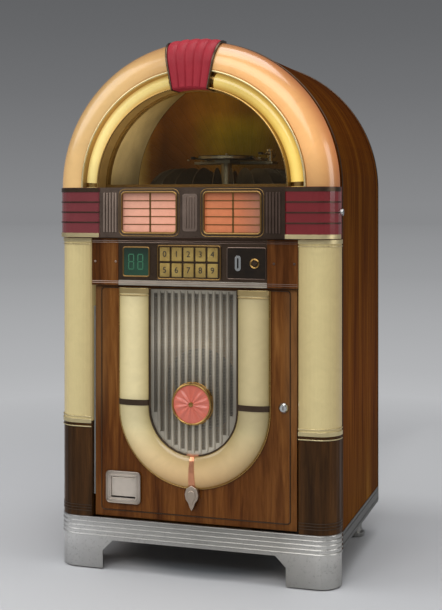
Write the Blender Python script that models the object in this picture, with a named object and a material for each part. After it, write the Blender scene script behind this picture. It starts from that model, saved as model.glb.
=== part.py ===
"""An arched jukebox: case, three doors, lit plastics, key bank, coin parts and record carousel.

Metres, +Z up, the front faces -Y, and the origin is on the floor under the middle of the object.
"""
import math

import bmesh
import bpy
from mathutils import Matrix, Vector
from mathutils.geometry import tessellate_polygon

# Clearances
SEAT = 0.0003            # between faces that rest on each other
RUN = 0.002              # between a door's edge and what surrounds it
DOOR_SEAL = 0.0008       # between a closed door and the frame that it shuts against
CUT_OVERRUN = 0.010      # how far a cutter runs past the faces that it cuts

# Case
HALF_WIDTH = 0.415
CASE_WALL = 0.018
ARCH_Z = 1.100           # centre of the round top
CASE_FRONT_Y = -0.240
CASE_BOTTOM_Z = 0.100
FLOOR_THICKNESS = 0.018
FLOOR_TAB_INSET = 0.070   # the floor reaches forward to the kick plate between these
FRONT_Y = -0.290         # face of the lower door

# Front frame behind the pilasters
FRAME_THICKNESS = 0.018
FRAME_POST_WIDTH = 0.112
FRAME_HEADER_HEIGHT = 0.018

# Kick plate and feet
KICK_TOP_Z = 0.150
KICK_WALL = 0.003
KICK_LIFT = 0.004
KICK_ARCH_INSET = 0.143
KICK_ARCH_TOP_Z = 0.086
KICK_ARCH_SLOPE = 0.030
FOOT_INSET = 0.063
FOOT_FRONT_Y = -0.205
FOOT_REAR_Y = 0.265
FOOT_PAD_RADIUS = 0.030
FOOT_PAD_HEIGHT = 0.014
FOOT_STEM_RADIUS = 0.022
FOOT_CHAMFER = 0.004

# Pilasters
PILASTER_WIDTH = 0.108
PILASTER_FRONT_Y = -0.305
PILASTER_CORNER = 0.060
PILASTER_CHAMFER = 0.004
PILASTER_BASE_TOP_Z = 0.425
PILASTER_TOP_Z = 0.955
BASE_WALL = 0.012
LENS_WALL = 0.003
BRACKET_HEIGHT = 0.006
BRACKET_HALF = 0.026
BRACKET_REACH = 0.018
BRACKET_INSET = 0.006
CYLINDER_RADIUS = 0.0235
CYLINDER_WALL = 0.002
CYLINDER_INSET = 0.0555
CYLINDER_Y = -0.2705

# Control strip
CONTROL_HEIGHT = 0.1355
CONTROL_FRONT_Y = -0.302
CONTROL_ROW_RISE = 0.0685   # up to the middle of the keypad, window and coin plate
WINDOW_X = -0.169
WINDOW_WIDTH = 0.076
WINDOW_HEIGHT = 0.080
WINDOW_THICKNESS = 0.005
WINDOW_PROUD = 0.0015
KEYPAD_X = -0.010
KEY_COLUMNS = 5
KEY_ROWS = 2
KEY_PITCH_X = 0.0356
KEY_PITCH_Z = 0.0450
KEY_WIDTH = 0.0300
KEY_HEIGHT = 0.0390
KEY_DEPTH = 0.014
KEY_PROUD = 0.005
KEY_BEVEL = 0.0015
COIN_X = 0.1595
COIN_PLATE_WIDTH = 0.109
COIN_PLATE_HEIGHT = 0.084
COIN_PLATE_THICKNESS = 0.004
COIN_HOLE_BORDER = 0.011
COIN_SLOT_WIDTH = 0.0034
COIN_SLOT_HEIGHT = 0.027
COIN_SLOT_DX = -0.024
BUTTON_DX = 0.024
BUTTON_RADIUS = 0.0080
BUTTON_PROUD = 0.006
BUTTON_LENGTH = 0.013
BUTTON_CHAMFER = 0.0015
ACCEPTOR_SETBACK = 0.008
ACCEPTOR_WIDTH = 0.116
ACCEPTOR_DEPTH = 0.100
ACCEPTOR_HEIGHT = 0.138
ACCEPTOR_RISE = 0.040

# Lower door
LOWER_DOOR_GAP = 0.007    # between the door and a pilaster: the hinge stands in it
LOWER_DOOR_BOTTOM_Z = 0.153
LOWER_DOOR_THICKNESS = 0.018
U_INSET = 0.078          # from the door's side edges
U_WIDTH = 0.089
U_LIFT = 0.099           # from the door's bottom edge
U_TOP_INSET = 0.0075
U_RISE = 0.020
U_EDGE_RISE = 0.006
U_WALL = 0.003
GRILLE_THICKNESS = 0.003
GRILLE_BORDER = 0.010
GRILLE_SLOT_WIDTH = 0.010
GRILLE_PITCH = 0.0205
GRILLE_LAP = 0.008
MEDALLION_RISE = 0.016   # above the middle of the U's bend
MEDALLION_RADIUS = 0.058
MEDALLION_DEPTH = 0.018
MEDALLION_CROWN = 0.003
CLASP_RISE = 0.013
CLASP_HEIGHT = 0.016
CLASP_WALL = 0.0025
U_BEZEL = 0.0035
U_BEZEL_RISE = 0.009
FINIAL_DROP = 0.052
FINIAL_HALF = 0.017
FINIAL_FRONT_Y = -0.3075
COIN_CUP_INSET = 0.088
COIN_CUP_Z = 0.239
COIN_BEZEL_WIDTH = 0.100
COIN_BEZEL_HEIGHT = 0.086
COIN_BEZEL_THICKNESS = 0.006
COIN_CUP_WIDTH = 0.080
COIN_CUP_HEIGHT = 0.066
COIN_CUP_DEPTH = 0.054
COIN_CUP_WALL = 0.003
FLAP_PIN_RADIUS = 0.0022
FLAP_THICKNESS = 0.0012
FLAP_PIN_DROP = 0.0035
FLAP_PIN_SETBACK = 0.0035
FLAP_SIDE_GAP = 0.0005
FLAP_BOTTOM_GAP = 0.004
LOWER_LOCK_INSET = 0.038
LOWER_LOCK_Z = 0.490

# Locks
LOCK_RADIUS = 0.0095
LOCK_THICKNESS = 0.006
LOCK_KEYWAY_WIDTH = 0.0024
LOCK_KEYWAY_HEIGHT = 0.0100

# Upper door
UPPER_DOOR_BOTTOM_Z = PILASTER_TOP_Z + RUN
DOOR_PLATE_FRONT_Y = -0.262
DOOR_PLATE_INSET = 0.007
GLASS_THICKNESS = 0.003
GLASS_LAP = 0.009
ARCH_FRONT_Y = -0.320
ARCH_LENS_WIDTH = 0.0825
ARCH_CORNER = 0.065
ARCH_TRIM_WALL = 0.004
ARCH_DIVIDER_INSET = 0.0055
ARCH_TROUGH_WIDTH = 0.0475
ARCH_TUBE_GAP = 0.00075
KEYSTONE_HALF_ANGLE = math.radians(10.4)
KEYSTONE_FRONT_Y = -0.330
KEYSTONE_TOP_RISE = 0.007
BELT_FRONT_Y = -0.324
BELT_CAP_WIDTH = 0.140
BELT_CAP_WALL = 0.004
TITLE_FRONT_Y = -0.322
TITLE_INNER_X = 0.040
TITLE_OUTER_INSET = 0.069
TITLE_BORDER = 0.013
TITLE_FRAME_THICKNESS = 0.012
TITLE_BOX_MARGIN = 0.008
UPPER_LOCK_Y = -0.2505
UPPER_LOCK_Z = 1.030

# Hinges
HINGE_RADIUS = 0.0030
HINGE_LEAF = 0.0012
HINGE_LEAF_LENGTH = 0.022
UPPER_HINGE_LENGTH = 0.120
LOWER_HINGE_INSET = 0.060
LOWER_HINGE_SETBACK = 0.0015   # from the door's face back to the pin
REAR_HINGE_INSET = 0.140
REAR_HINGE_LEAF_LENGTH = 0.015

# Rear door
REAR_DOOR_THICKNESS = 0.018
REAR_SLOT_WIDTH = 0.220
REAR_SLOT_HEIGHT = 0.008
REAR_SLOT_PITCH = 0.026
REAR_SLOT_COUNT = 6
REAR_SLOTS_LOW_Z = 0.260
REAR_SLOTS_HIGH_Z = 1.180

# Sound
BAFFLE_THICKNESS = 0.018
BAFFLE_RIGHT_X = 0.155
BAFFLE_DROP = 0.0395     # below the control strip
SPEAKER_Z = 0.520
SPEAKER_HOLE = 0.118
SPEAKER_FLANGE = 0.132
SPEAKER_FLANGE_THICKNESS = 0.004
SPEAKER_CONE_INSET = 0.004
SPEAKER_CONE_WALL = 0.0025
SPEAKER_CAP_DEPTH = 0.004
SPEAKER_CONE_DEPTH = 0.050
SPEAKER_THROAT = 0.034
SPEAKER_MAGNET_RADIUS = 0.055
SPEAKER_MAGNET_DEPTH = 0.034
AMPLIFIER_INSET = 0.067   # from the case's inner face
AMPLIFIER_WIDTH = 0.280
AMPLIFIER_FRONT_Y = 0.010
AMPLIFIER_DEPTH = 0.190
AMPLIFIER_HEIGHT = 0.110
AMPLIFIER_BEVEL = 0.003
KNOB_RADIUS = 0.0120
KNOB_LENGTH = 0.016
KNOB_POINTER = 0.003
KNOB_DX = 0.060
CONTROL_RAISE = 0.060

# Cash box
CASH_INSET = 0.107        # from the case's inner face
CASH_WIDTH = 0.120
CASH_FRONT_Y = -0.200
CASH_DEPTH = 0.220
CASH_HEIGHT = 0.100
CASH_WALL = 0.003

# Record mechanism
DECK_Z = 0.935
DECK_THICKNESS = 0.010
DECK_FRONT_Y = -0.215
DECK_REAR_Y = 0.270
RAIL_SIZE = 0.020
MECH_Y = 0.020           # the carousel's axis
RECORD_RADIUS = 0.0875
RECORD_THICKNESS = 0.0015
RECORD_COUNT = 24
RECORD_RING = 0.1575     # from the carousel's axis to a stored record's middle
RECORD_BOTTOM_Z = 0.985
BASKET_BASE_THICKNESS = 0.010
BASKET_HUB = 0.052
BASKET_HUB_WALL = 0.004
BASKET_HUB_TOP_Z = 1.050
BASKET_REST_HALF = 0.008
BASKET_REST_DEPTH = 0.004   # how deep a record stands in the slotted ring
BASKET_RIM_GAP = 0.0445   # from the ring of record middles out to the rim
BASKET_RIM_WALL = 0.004
BASKET_RIM_TOP_Z = 0.984
DRIVE_WHEEL_RADIUS = 0.018
DRIVE_WHEEL_HEIGHT = 0.016
DRIVE_SHAFT_RADIUS = 0.005
DRIVE_ANGLE = math.radians(135)
MOTOR_RADIUS = 0.026
MOTOR_HEIGHT = 0.050
COLUMN_BASE_RADIUS = 0.046
COLUMN_BASE_HEIGHT = 0.008
COLUMN_RADIUS = 0.016
BRIDGE_Z = 1.178
BRIDGE_THICKNESS = 0.008
BRIDGE_HALF = 0.128
BRIDGE_FRONT_Y = -0.020
BRIDGE_REAR_Y = 0.150
BRIDGE_ARM = 0.024
PLATTER_THICKNESS = 0.012
PLATTER_RADIUS = 0.0865
PLATTER_HUB_RADIUS = 0.018
PLATTER_HUB_HEIGHT = 0.004
PLATTER_SPINDLE = 0.004
PLATTER_SPINDLE_HEIGHT = 0.010
TONEARM_X = 0.117
TONEARM_Y = 0.100
TONEARM_POST_RADIUS = 0.0085
TONEARM_POST_HEIGHT = 0.030
TONEARM_LENGTH = 0.118
TONEARM_RADIUS = 0.0030
TONEARM_CLEARANCE = 0.0025   # from the record up to the parked head
TONEARM_HEAD_LENGTH = 0.022
TONEARM_HEAD_WIDTH = 0.010
TONEARM_HEAD_HEIGHT = 0.006
BOW_HALF = 0.0995
BOW_BAR = 0.008
BOW_THICKNESS = 0.006
BOW_FRONT_Y = -0.030
BOW_PIVOT_Y = 0.136
BOW_PIVOT_RISE = 0.0075
BOW_PIN_RADIUS = 0.0050
BOW_EAR_WIDTH = 0.008
BOW_EAR_DEPTH = 0.014

# How finely round pieces are divided
ARCH_STEPS = 16
CORNER_STEPS = 6
ROUND_STEPS = 24
SMALL_ROUND_STEPS = 12
SMOOTH_ANGLE = math.radians(35)
AXIS_MARK_SIZE = 0.010

# Values that follow from those above
CASE_REAR_Y = -KEYSTONE_FRONT_Y - SEAT - 2 * HINGE_RADIUS   # puts the origin half way back
FLOOR_Z = CASE_BOTTOM_Z + FLOOR_THICKNESS
FRAME_FRONT_Y = CASE_FRONT_Y + SEAT
CASE_INNER = HALF_WIDTH - CASE_WALL
FLOOR_TAB_HALF = HALF_WIDTH - FLOOR_TAB_INSET
FRAME_OPENING_HALF = HALF_WIDTH - FRAME_POST_WIDTH
KICK_ARCH_HALF = HALF_WIDTH - KICK_ARCH_INSET
FOOT_X = HALF_WIDTH - FOOT_INSET
PILASTER_INNER_X = HALF_WIDTH - PILASTER_WIDTH
CYLINDER_X = HALF_WIDTH - CYLINDER_INSET
CONTROL_HALF = PILASTER_INNER_X - SEAT
CONTROL_BOTTOM_Z = PILASTER_TOP_Z - CONTROL_HEIGHT
CONTROL_ROW_Z = CONTROL_BOTTOM_Z + CONTROL_ROW_RISE
ACCEPTOR_TOP_Z = CONTROL_ROW_Z + ACCEPTOR_RISE
ACCEPTOR_BOTTOM_Z = ACCEPTOR_TOP_Z - ACCEPTOR_HEIGHT
BAFFLE_TOP_Z = CONTROL_BOTTOM_Z - BAFFLE_DROP
LOWER_DOOR_HALF = PILASTER_INNER_X - LOWER_DOOR_GAP
LOWER_DOOR_TOP_Z = CONTROL_BOTTOM_Z - RUN
LOWER_LOCK_X = LOWER_DOOR_HALF - LOWER_LOCK_INSET
COIN_CUP_X = COIN_CUP_INSET - LOWER_DOOR_HALF
U_OUTER = LOWER_DOOR_HALF - U_INSET
U_INNER = U_OUTER - U_WIDTH
U_CENTRE_Z = LOWER_DOOR_BOTTOM_Z + U_LIFT + U_OUTER
U_TOP_Z = LOWER_DOOR_TOP_Z - U_TOP_INSET
MEDALLION_Z = U_CENTRE_Z + MEDALLION_RISE
CLASP_Z = U_CENTRE_Z + CLASP_RISE
FINIAL_BOTTOM_Z = U_CENTRE_Z - U_OUTER - FINIAL_DROP
BELT_TOP_Z = ARCH_Z - SEAT
DOOR_PLATE_RADIUS = HALF_WIDTH - DOOR_PLATE_INSET
DOOR_PLATE_REAR_Y = CASE_FRONT_Y - DOOR_SEAL
ARCH_LENS_INNER = HALF_WIDTH - ARCH_LENS_WIDTH
DIVIDER_RADIUS = ARCH_LENS_INNER - ARCH_DIVIDER_INSET
REVEAL_RADIUS = DIVIDER_RADIUS - ARCH_TROUGH_WIDTH
GLASS_RADIUS = REVEAL_RADIUS + ARCH_TRIM_WALL
ARCH_TUBE_RADIUS = (ARCH_TROUGH_WIDTH - ARCH_TRIM_WALL) / 2 - ARCH_TUBE_GAP
BELT_CAP_INNER_X = HALF_WIDTH - BELT_CAP_WIDTH
TITLE_OUTER_X = BELT_CAP_INNER_X - TITLE_OUTER_INSET
AMPLIFIER_LEFT_X = AMPLIFIER_INSET - CASE_INNER
CASH_LEFT_X = CASE_INNER - CASH_INSET - CASH_WIDTH
ON_PLATE_Y = DOOR_PLATE_FRONT_Y - SEAT
ON_PANEL_Y = FRONT_Y - SEAT
ON_GRILLE_Y = ON_PANEL_Y - GRILLE_THICKNESS - SEAT
DECK_TOP_Z = DECK_Z + DECK_THICKNESS
BASKET_BOTTOM_Z = DECK_TOP_Z + COLUMN_BASE_HEIGHT + 2 * SEAT
BASKET_RADIUS = RECORD_RING + BASKET_RIM_GAP
BRIDGE_TOP_Z = BRIDGE_Z + BRIDGE_THICKNESS
PLATTER_Z = BRIDGE_TOP_Z + SEAT
RECORD_Z = PLATTER_Z + PLATTER_THICKNESS + SEAT
REAR_DOOR_RADIUS = CASE_INNER - RUN
UPPER_HINGE_X = -HALF_WIDTH - SEAT - HINGE_RADIUS
UPPER_HINGE_Y = CASE_FRONT_Y - DOOR_SEAL / 2
LOWER_HINGE_RADIUS = (PILASTER_INNER_X - LOWER_DOOR_HALF) / 2 - SEAT
LOWER_HINGE_X = -(LOWER_DOOR_HALF + PILASTER_INNER_X) / 2
LOWER_HINGE_Y = FRONT_Y + LOWER_HINGE_SETBACK
REAR_HINGE_X = -(CASE_INNER + REAR_DOOR_RADIUS) / 2
REAR_HINGE_Y = CASE_REAR_Y + SEAT + HINGE_RADIUS

# Colours: red, green, blue, roughness, metallic
FINISHES = {
    "walnut": (0.100, 0.042, 0.018, 0.35, 0.0),
    "burl": (0.050, 0.022, 0.009, 0.30, 0.0),
    "panel_wood": (0.160, 0.080, 0.032, 0.35, 0.0),
    "board": (0.230, 0.160, 0.095, 0.70, 0.0),
    "chrome": (0.560, 0.560, 0.550, 0.15, 1.0),
    "steel": (0.350, 0.350, 0.350, 0.40, 1.0),
    "alloy": (0.420, 0.420, 0.425, 0.45, 1.0),
    "dark_trim": (0.060, 0.050, 0.045, 0.35, 0.6),
    "cream_lens": (0.620, 0.520, 0.300, 0.30, 0.0),
    "peach_lens": (0.900, 0.470, 0.220, 0.30, 0.0),
    "yellow_lens": (0.850, 0.560, 0.160, 0.25, 0.0),
    "red_lens": (0.380, 0.030, 0.035, 0.25, 0.0),
    "green_lens": (0.035, 0.120, 0.070, 0.25, 0.0),
    "title_light": (0.720, 0.300, 0.160, 0.45, 0.0),
    "glass": (0.800, 0.820, 0.800, 0.05, 0.0),
    "grille_grey": (0.250, 0.225, 0.185, 0.45, 0.7),
    "medallion": (0.620, 0.120, 0.080, 0.30, 0.0),
    "key_gold": (0.300, 0.210, 0.085, 0.35, 0.3),
    "black_plastic": (0.020, 0.020, 0.020, 0.45, 0.0),
    "vinyl": (0.012, 0.012, 0.013, 0.25, 0.0),
    "tint": (0.700, 0.420, 0.300, 0.30, 0.0),
    "rubber": (0.030, 0.030, 0.030, 0.80, 0.0),
    "paper_cone": (0.045, 0.043, 0.040, 0.85, 0.0),
}


# Building blocks

def clear_scene():
    for item in list(bpy.data.objects):
        bpy.data.objects.remove(item, do_unlink=True)


def finish_material(finish):
    """The named finish as a Principled material, made once and shared."""
    material = bpy.data.materials.get(finish)
    if material is None:
        red, green, blue, roughness, metallic = FINISHES[finish]
        material = bpy.data.materials.new(finish)
        material.use_nodes = True
        shader = material.node_tree.nodes["Principled BSDF"]
        shader.inputs["Base Color"].default_value = (red, green, blue, 1)
        shader.inputs["Roughness"].default_value = roughness
        shader.inputs["Metallic"].default_value = metallic
        material.diffuse_color = (red, green, blue, 1)
    return material


def make_object(name, shape, finish, origin=(0, 0, 0)):
    """Turns a bmesh into an object whose origin is at the given place."""
    bmesh.ops.recalc_face_normals(shape, faces=shape.faces[:])
    bmesh.ops.translate(shape, verts=shape.verts[:], vec=-Vector(origin))
    mesh = bpy.data.meshes.new(name)
    shape.to_mesh(mesh)
    shape.free()
    mesh.shade_smooth()
    mesh.set_sharp_from_angle(angle=SMOOTH_ANGLE)
    item = bpy.data.objects.new(name, mesh)
    item.location = origin
    mesh.materials.append(finish_material(finish))
    bpy.context.scene.collection.objects.link(item)
    return item


def add_boolean(item, cutter_shape, operation, label):
    """Cuts or joins a second shape, kept as a hidden wire object."""
    cutter = make_object(label, cutter_shape, "steel")
    cutter.hide_render = True
    cutter.display_type = "WIRE"
    modifier = item.modifiers.new(label, "BOOLEAN")
    modifier.operation = operation
    modifier.solver = "EXACT"
    modifier.object = cutter
    return cutter


def place(axis, first, second, along):
    """A point from two outline coordinates and a third along the axis."""
    if axis == "X":
        return Vector((along, first, second))
    if axis == "Y":
        return Vector((first, along, second))
    return Vector((first, second, along))


def add_prism(shape, axis, loops, low, high):
    """An outline, with any further loops as holes through it, extruded along an axis."""
    flat = [[Vector((first, second, 0)) for first, second in loop] for loop in loops]
    points = [point for loop in flat for point in loop]
    near = [shape.verts.new(place(axis, p.x, p.y, low)) for p in points]
    far = [shape.verts.new(place(axis, p.x, p.y, high)) for p in points]
    if len(loops) == 1:
        shape.faces.new(near)
        shape.faces.new(list(reversed(far)))
    else:
        for a, b, c in tessellate_polygon(flat):
            shape.faces.new((near[a], near[b], near[c]))
            shape.faces.new((far[c], far[b], far[a]))
    start = 0
    for loop in flat:
        count = len(loop)
        for step in range(count):
            a = start + step
            b = start + (step + 1) % count
            shape.faces.new((near[a], near[b], far[b], far[a]))
        start += count


def add_box(shape, low, high):
    corners = rectangle(low[0], high[0], low[1], high[1])
    add_prism(shape, "Z", [corners], low[2], high[2])


def add_sweep(shape, rings):
    """A tube of solid section through a list of rings of points, closed at both ends."""
    loops = [[shape.verts.new(point) for point in ring] for ring in rings]
    count = len(loops[0])
    for one, two in zip(loops, loops[1:]):
        for step in range(count):
            after = (step + 1) % count
            shape.faces.new((one[step], one[after], two[after], two[step]))
    shape.faces.new(list(reversed(loops[0])))
    shape.faces.new(loops[-1])


def add_turned(shape, profile, axis="Z", centre=(0, 0, 0), steps=ROUND_STEPS):
    """A closed profile of (radius, height) turned about an axis; radius 0 lies on the axis."""
    columns = []
    hub = {}
    for step in range(steps):
        angle = 2 * math.pi * step / steps
        column = []
        for index, (radius, height) in enumerate(profile):
            point = place(axis, radius * math.cos(angle), radius * math.sin(angle), height)
            if radius == 0:
                if index not in hub:
                    hub[index] = shape.verts.new(point + Vector(centre))
                column.append(hub[index])
            else:
                column.append(shape.verts.new(point + Vector(centre)))
        columns.append(column)
    count = len(profile)
    for step in range(steps):
        one = columns[step]
        two = columns[(step + 1) % steps]
        for index in range(count):
            after = (index + 1) % count
            corners = []
            for vert in (one[index], one[after], two[after], two[index]):
                if vert not in corners:
                    corners.append(vert)
            if len(corners) > 2:
                shape.faces.new(corners)


def rectangle(left, right, low, high):
    return [(left, low), (right, low), (right, high), (left, high)]


def circle(centre, radius, steps=ROUND_STEPS):
    turns = [2 * math.pi * step / steps for step in range(steps)]
    return [(centre[0] + radius * math.cos(a), centre[1] + radius * math.sin(a)) for a in turns]


def arc(centre, radius, start, end, steps):
    """Points from one angle to another, both ends included."""
    turns = [start + (end - start) * step / steps for step in range(steps + 1)]
    return [(centre[0] + radius * math.cos(a), centre[1] + radius * math.sin(a)) for a in turns]


def mirrored(loop):
    return [(-first, second) for first, second in reversed(loop)]


def arched_outline(half_width, bottom_z, steps=2 * ARCH_STEPS):
    """A door or case outline: straight sides and a half-round top."""
    top = arc((0, ARCH_Z), half_width, 0, math.pi, steps)
    return [(-half_width, bottom_z), (half_width, bottom_z)] + top


def corner_channel(inner, outer, front_y, corner, wall, inner_back_y, outer_back_y):
    """A channel section with a rounded outer front corner, as (across, y) points.

    across runs from the inner leg to the outer leg; both legs run back from the front.
    """
    centre = (outer - corner, front_y + corner)
    outside = [(inner, inner_back_y), (inner, front_y + PILASTER_CHAMFER)]
    outside.append((inner + PILASTER_CHAMFER, front_y))
    outside += arc(centre, corner, -math.pi / 2, 0, CORNER_STEPS)
    outside.append((outer, outer_back_y))
    inside = [(outer - wall, outer_back_y)]
    inside += arc(centre, corner - wall, 0, -math.pi / 2, CORNER_STEPS)
    inside.append((inner + wall, front_y + wall))
    inside.append((inner + wall, inner_back_y))
    return outside + inside


def arch_rings(section, start, end, steps=ARCH_STEPS):
    """Rings of a (radius, y) section carried round the arch between two angles."""
    rings = []
    for step in range(steps + 1):
        angle = start + (end - start) * step / steps
        across = Vector((math.cos(angle), 0, math.sin(angle)))
        middle = Vector((0, 0, ARCH_Z))
        rings.append([middle + across * radius + Vector((0, y, 0)) for radius, y in section])
    return rings


def hinge_half(centre, radius, leaf_length, side, along):
    """A knuckle with its leaf, as an (x, y) outline.

    side points from the pin to the surface that the leaf lies on, and along is the leaf's way.
    """
    side = Vector(side)
    along = Vector(along)
    rise = math.sqrt(radius ** 2 - (radius - HINGE_LEAF) ** 2)
    start = math.atan2(rise, radius - HINGE_LEAF)
    local = [(radius, leaf_length), (radius - HINGE_LEAF, leaf_length)]
    for angle in [start + (2 * math.pi - start) * n / SMALL_ROUND_STEPS
                  for n in range(SMALL_ROUND_STEPS + 1)]:
        local.append((radius * math.cos(angle), radius * math.sin(angle)))
    middle = Vector(centre)
    return [tuple(middle + side * u + along * v) for u, v in local]


def lock_loops(centre):
    """A lock face: a disc with its keyway."""
    keyway = rectangle(
        centre[0] - LOCK_KEYWAY_WIDTH / 2, centre[0] + LOCK_KEYWAY_WIDTH / 2,
        centre[1] - LOCK_KEYWAY_HEIGHT / 2, centre[1] + LOCK_KEYWAY_HEIGHT / 2)
    return [circle(centre, LOCK_RADIUS), keyway]


# More building blocks for particular families of shape

def add_stepped(shape, axis, centre, stages):
    """Rectangles (half width, half height, place along the axis) joined in turn and capped."""
    rings = []
    for half_width, half_height, along in stages:
        corners = rectangle(centre[0] - half_width, centre[0] + half_width,
                            centre[1] - half_height, centre[1] + half_height)
        rings.append([place(axis, first, second, along) for first, second in corners])
    add_sweep(shape, rings)


def arched_band(outer, inner, front_y, rear_y, bottom_z):
    """Rings of an arched shell: up one side, round the top and down the other."""
    section = [(outer, front_y), (outer, rear_y), (inner, rear_y), (inner, front_y)]
    right = [Vector((radius, y, bottom_z)) for radius, y in section]
    left = [Vector((-radius, y, bottom_z)) for radius, y in section]
    return [right] + arch_rings(section, 0, math.pi, 2 * ARCH_STEPS) + [left]


def u_ring(section, angle, z):
    """One ring of a (radius, y) section, turned to an angle about the U's middle line."""
    across = Vector((math.cos(angle), 0, math.sin(angle)))
    return [across * radius + Vector((0, y, z)) for radius, y in section]


def u_rings(section):
    """Rings of a (radius, y) section down one leg of the U, round its foot and up the other."""
    turns = [-math.pi * step / ARCH_STEPS for step in range(ARCH_STEPS + 1)]
    foot = [u_ring(section, angle, U_CENTRE_Z) for angle in turns]
    return [u_ring(section, 0, U_TOP_Z)] + foot + [u_ring(section, -math.pi, U_TOP_Z)]


def u_bulge(half_width, rise, steps=8):
    """The outer curve of the U's lens across its width, as (radius, y) points."""
    middle = (U_OUTER + U_INNER) / 2
    points = []
    for step in range(steps + 1):
        angle = -math.pi / 2 + math.pi * step / steps
        y = ON_PANEL_Y - U_EDGE_RISE - (rise - U_EDGE_RISE) * math.cos(angle)
        points.append((middle + half_width * math.sin(angle), y))
    return points


def u_outline(half_width, top_z):
    """The flat outline inside the U: straight sides and a half-round foot."""
    foot = arc((0, U_CENTRE_Z), half_width, math.pi, 2 * math.pi, ARCH_STEPS)
    return foot + [(half_width, top_z), (-half_width, top_z)]


def add_disc(shape, centre, radial, radius, thickness, steps=16):
    """A thin disc that stands on edge, its face across the given radial direction."""
    up = Vector((0, 0, 1))
    side = Vector(radial).cross(up) * (thickness / 2)
    turns = [2 * math.pi * step / steps for step in range(steps)]
    rim = [Vector(centre) + (Vector(radial) * math.cos(a) + up * math.sin(a)) * radius
           for a in turns]
    add_sweep(shape, [[point - side for point in rim], [point + side for point in rim]])


def add_axis(name, location):
    """An empty on a joint's axis, which carries the pieces that turn about it."""
    axis = bpy.data.objects.new(name, None)
    axis.location = location
    axis.empty_display_size = AXIS_MARK_SIZE
    bpy.context.scene.collection.objects.link(axis)
    return axis


def make_carried(name, shape, finish, axis):
    """An object whose origin is on the axis that carries it."""
    item = make_object(name, shape, finish, axis.location)
    item.parent = axis
    item.location = (0, 0, 0)
    return item


def make_pair(name, section, low, high, finish, axis=None):
    """A right-hand piece from its (x, y) section, and its mirror image on the left."""
    for side, outline in (("left", mirrored(section)), ("right", section)):
        shape = bmesh.new()
        add_prism(shape, "Z", [outline], low, high)
        if axis is None:
            make_object(name + side, shape, finish)
        else:
            make_carried(name + side, shape, finish, axis)


# The case

def feet_shape():
    """Four feet that reach up into the floor board."""
    shape = bmesh.new()
    top = CASE_BOTTOM_Z + FLOOR_THICKNESS / 2
    profile = [(0, 0), (FOOT_PAD_RADIUS - FOOT_CHAMFER, 0), (FOOT_PAD_RADIUS, FOOT_CHAMFER),
               (FOOT_PAD_RADIUS, FOOT_PAD_HEIGHT), (FOOT_STEM_RADIUS, FOOT_PAD_HEIGHT),
               (FOOT_STEM_RADIUS, top), (0, top)]
    for x in (-FOOT_X, FOOT_X):
        for y in (FOOT_FRONT_Y, FOOT_REAR_Y):
            add_turned(shape, profile, "Z", (x, y, 0), SMALL_ROUND_STEPS + CORNER_STEPS)
    return shape


def bracket_places():
    """Lower faces of the brackets that hold a colour cylinder's two ends."""
    low = PILASTER_BASE_TOP_Z + SEAT + BRACKET_INSET
    high = PILASTER_TOP_Z - BRACKET_INSET - BRACKET_HEIGHT
    return low, high


def build_case():
    shape = bmesh.new()
    add_sweep(shape, arched_band(HALF_WIDTH, CASE_INNER, CASE_FRONT_Y, CASE_REAR_Y, CASE_BOTTOM_Z))
    make_object("cabinet_shell", shape, "walnut")

    shape = bmesh.new()
    side = CASE_INNER - SEAT
    tab = FLOOR_TAB_HALF
    tab_front = PILASTER_FRONT_Y + KICK_WALL + SEAT
    outline = [(-side, CASE_REAR_Y), (-side, FRAME_FRONT_Y), (-tab, FRAME_FRONT_Y), (-tab, tab_front),
               (tab, tab_front), (tab, FRAME_FRONT_Y), (side, FRAME_FRONT_Y), (side, CASE_REAR_Y)]
    add_prism(shape, "Z", [outline], CASE_BOTTOM_Z, FLOOR_Z)
    floor = make_object("cabinet_floor", shape, "board")
    add_boolean(floor, feet_shape(), "UNION", "feet")

    shape = bmesh.new()
    low = FLOOR_Z + SEAT
    header = PILASTER_TOP_Z - FRAME_HEADER_HEIGHT
    gap = FRAME_OPENING_HALF
    outline = [(-side, low), (-gap, low), (-gap, header), (gap, header), (gap, low), (side, low),
               (side, PILASTER_TOP_Z), (-side, PILASTER_TOP_Z)]
    add_prism(shape, "Y", [outline], FRAME_FRONT_Y, FRAME_FRONT_Y + FRAME_THICKNESS)
    frame = make_object("front_frame", shape, "walnut")
    brackets = bmesh.new()
    for x in (-CYLINDER_X, CYLINDER_X):
        for bottom in bracket_places():
            add_box(brackets, (x - BRACKET_HALF, CYLINDER_Y - BRACKET_REACH, bottom),
                    (x + BRACKET_HALF, FRAME_FRONT_Y + FRAME_THICKNESS / 2, bottom + BRACKET_HEIGHT))
    add_boolean(frame, brackets, "UNION", "cylinder_brackets")


def skirt_line(corner, half_width, front_y):
    """The line round the front of the case at floor level, as (x, y) points."""
    centre_x = HALF_WIDTH - PILASTER_CORNER
    centre_y = PILASTER_FRONT_Y + PILASTER_CORNER
    back_y = CASE_FRONT_Y - SEAT
    left = arc((-centre_x, centre_y), corner, math.pi, 3 * math.pi / 2, CORNER_STEPS)
    right = arc((centre_x, centre_y), corner, -math.pi / 2, 0, CORNER_STEPS)
    return [(-half_width, back_y)] + left + right + [(half_width, back_y)]


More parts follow.
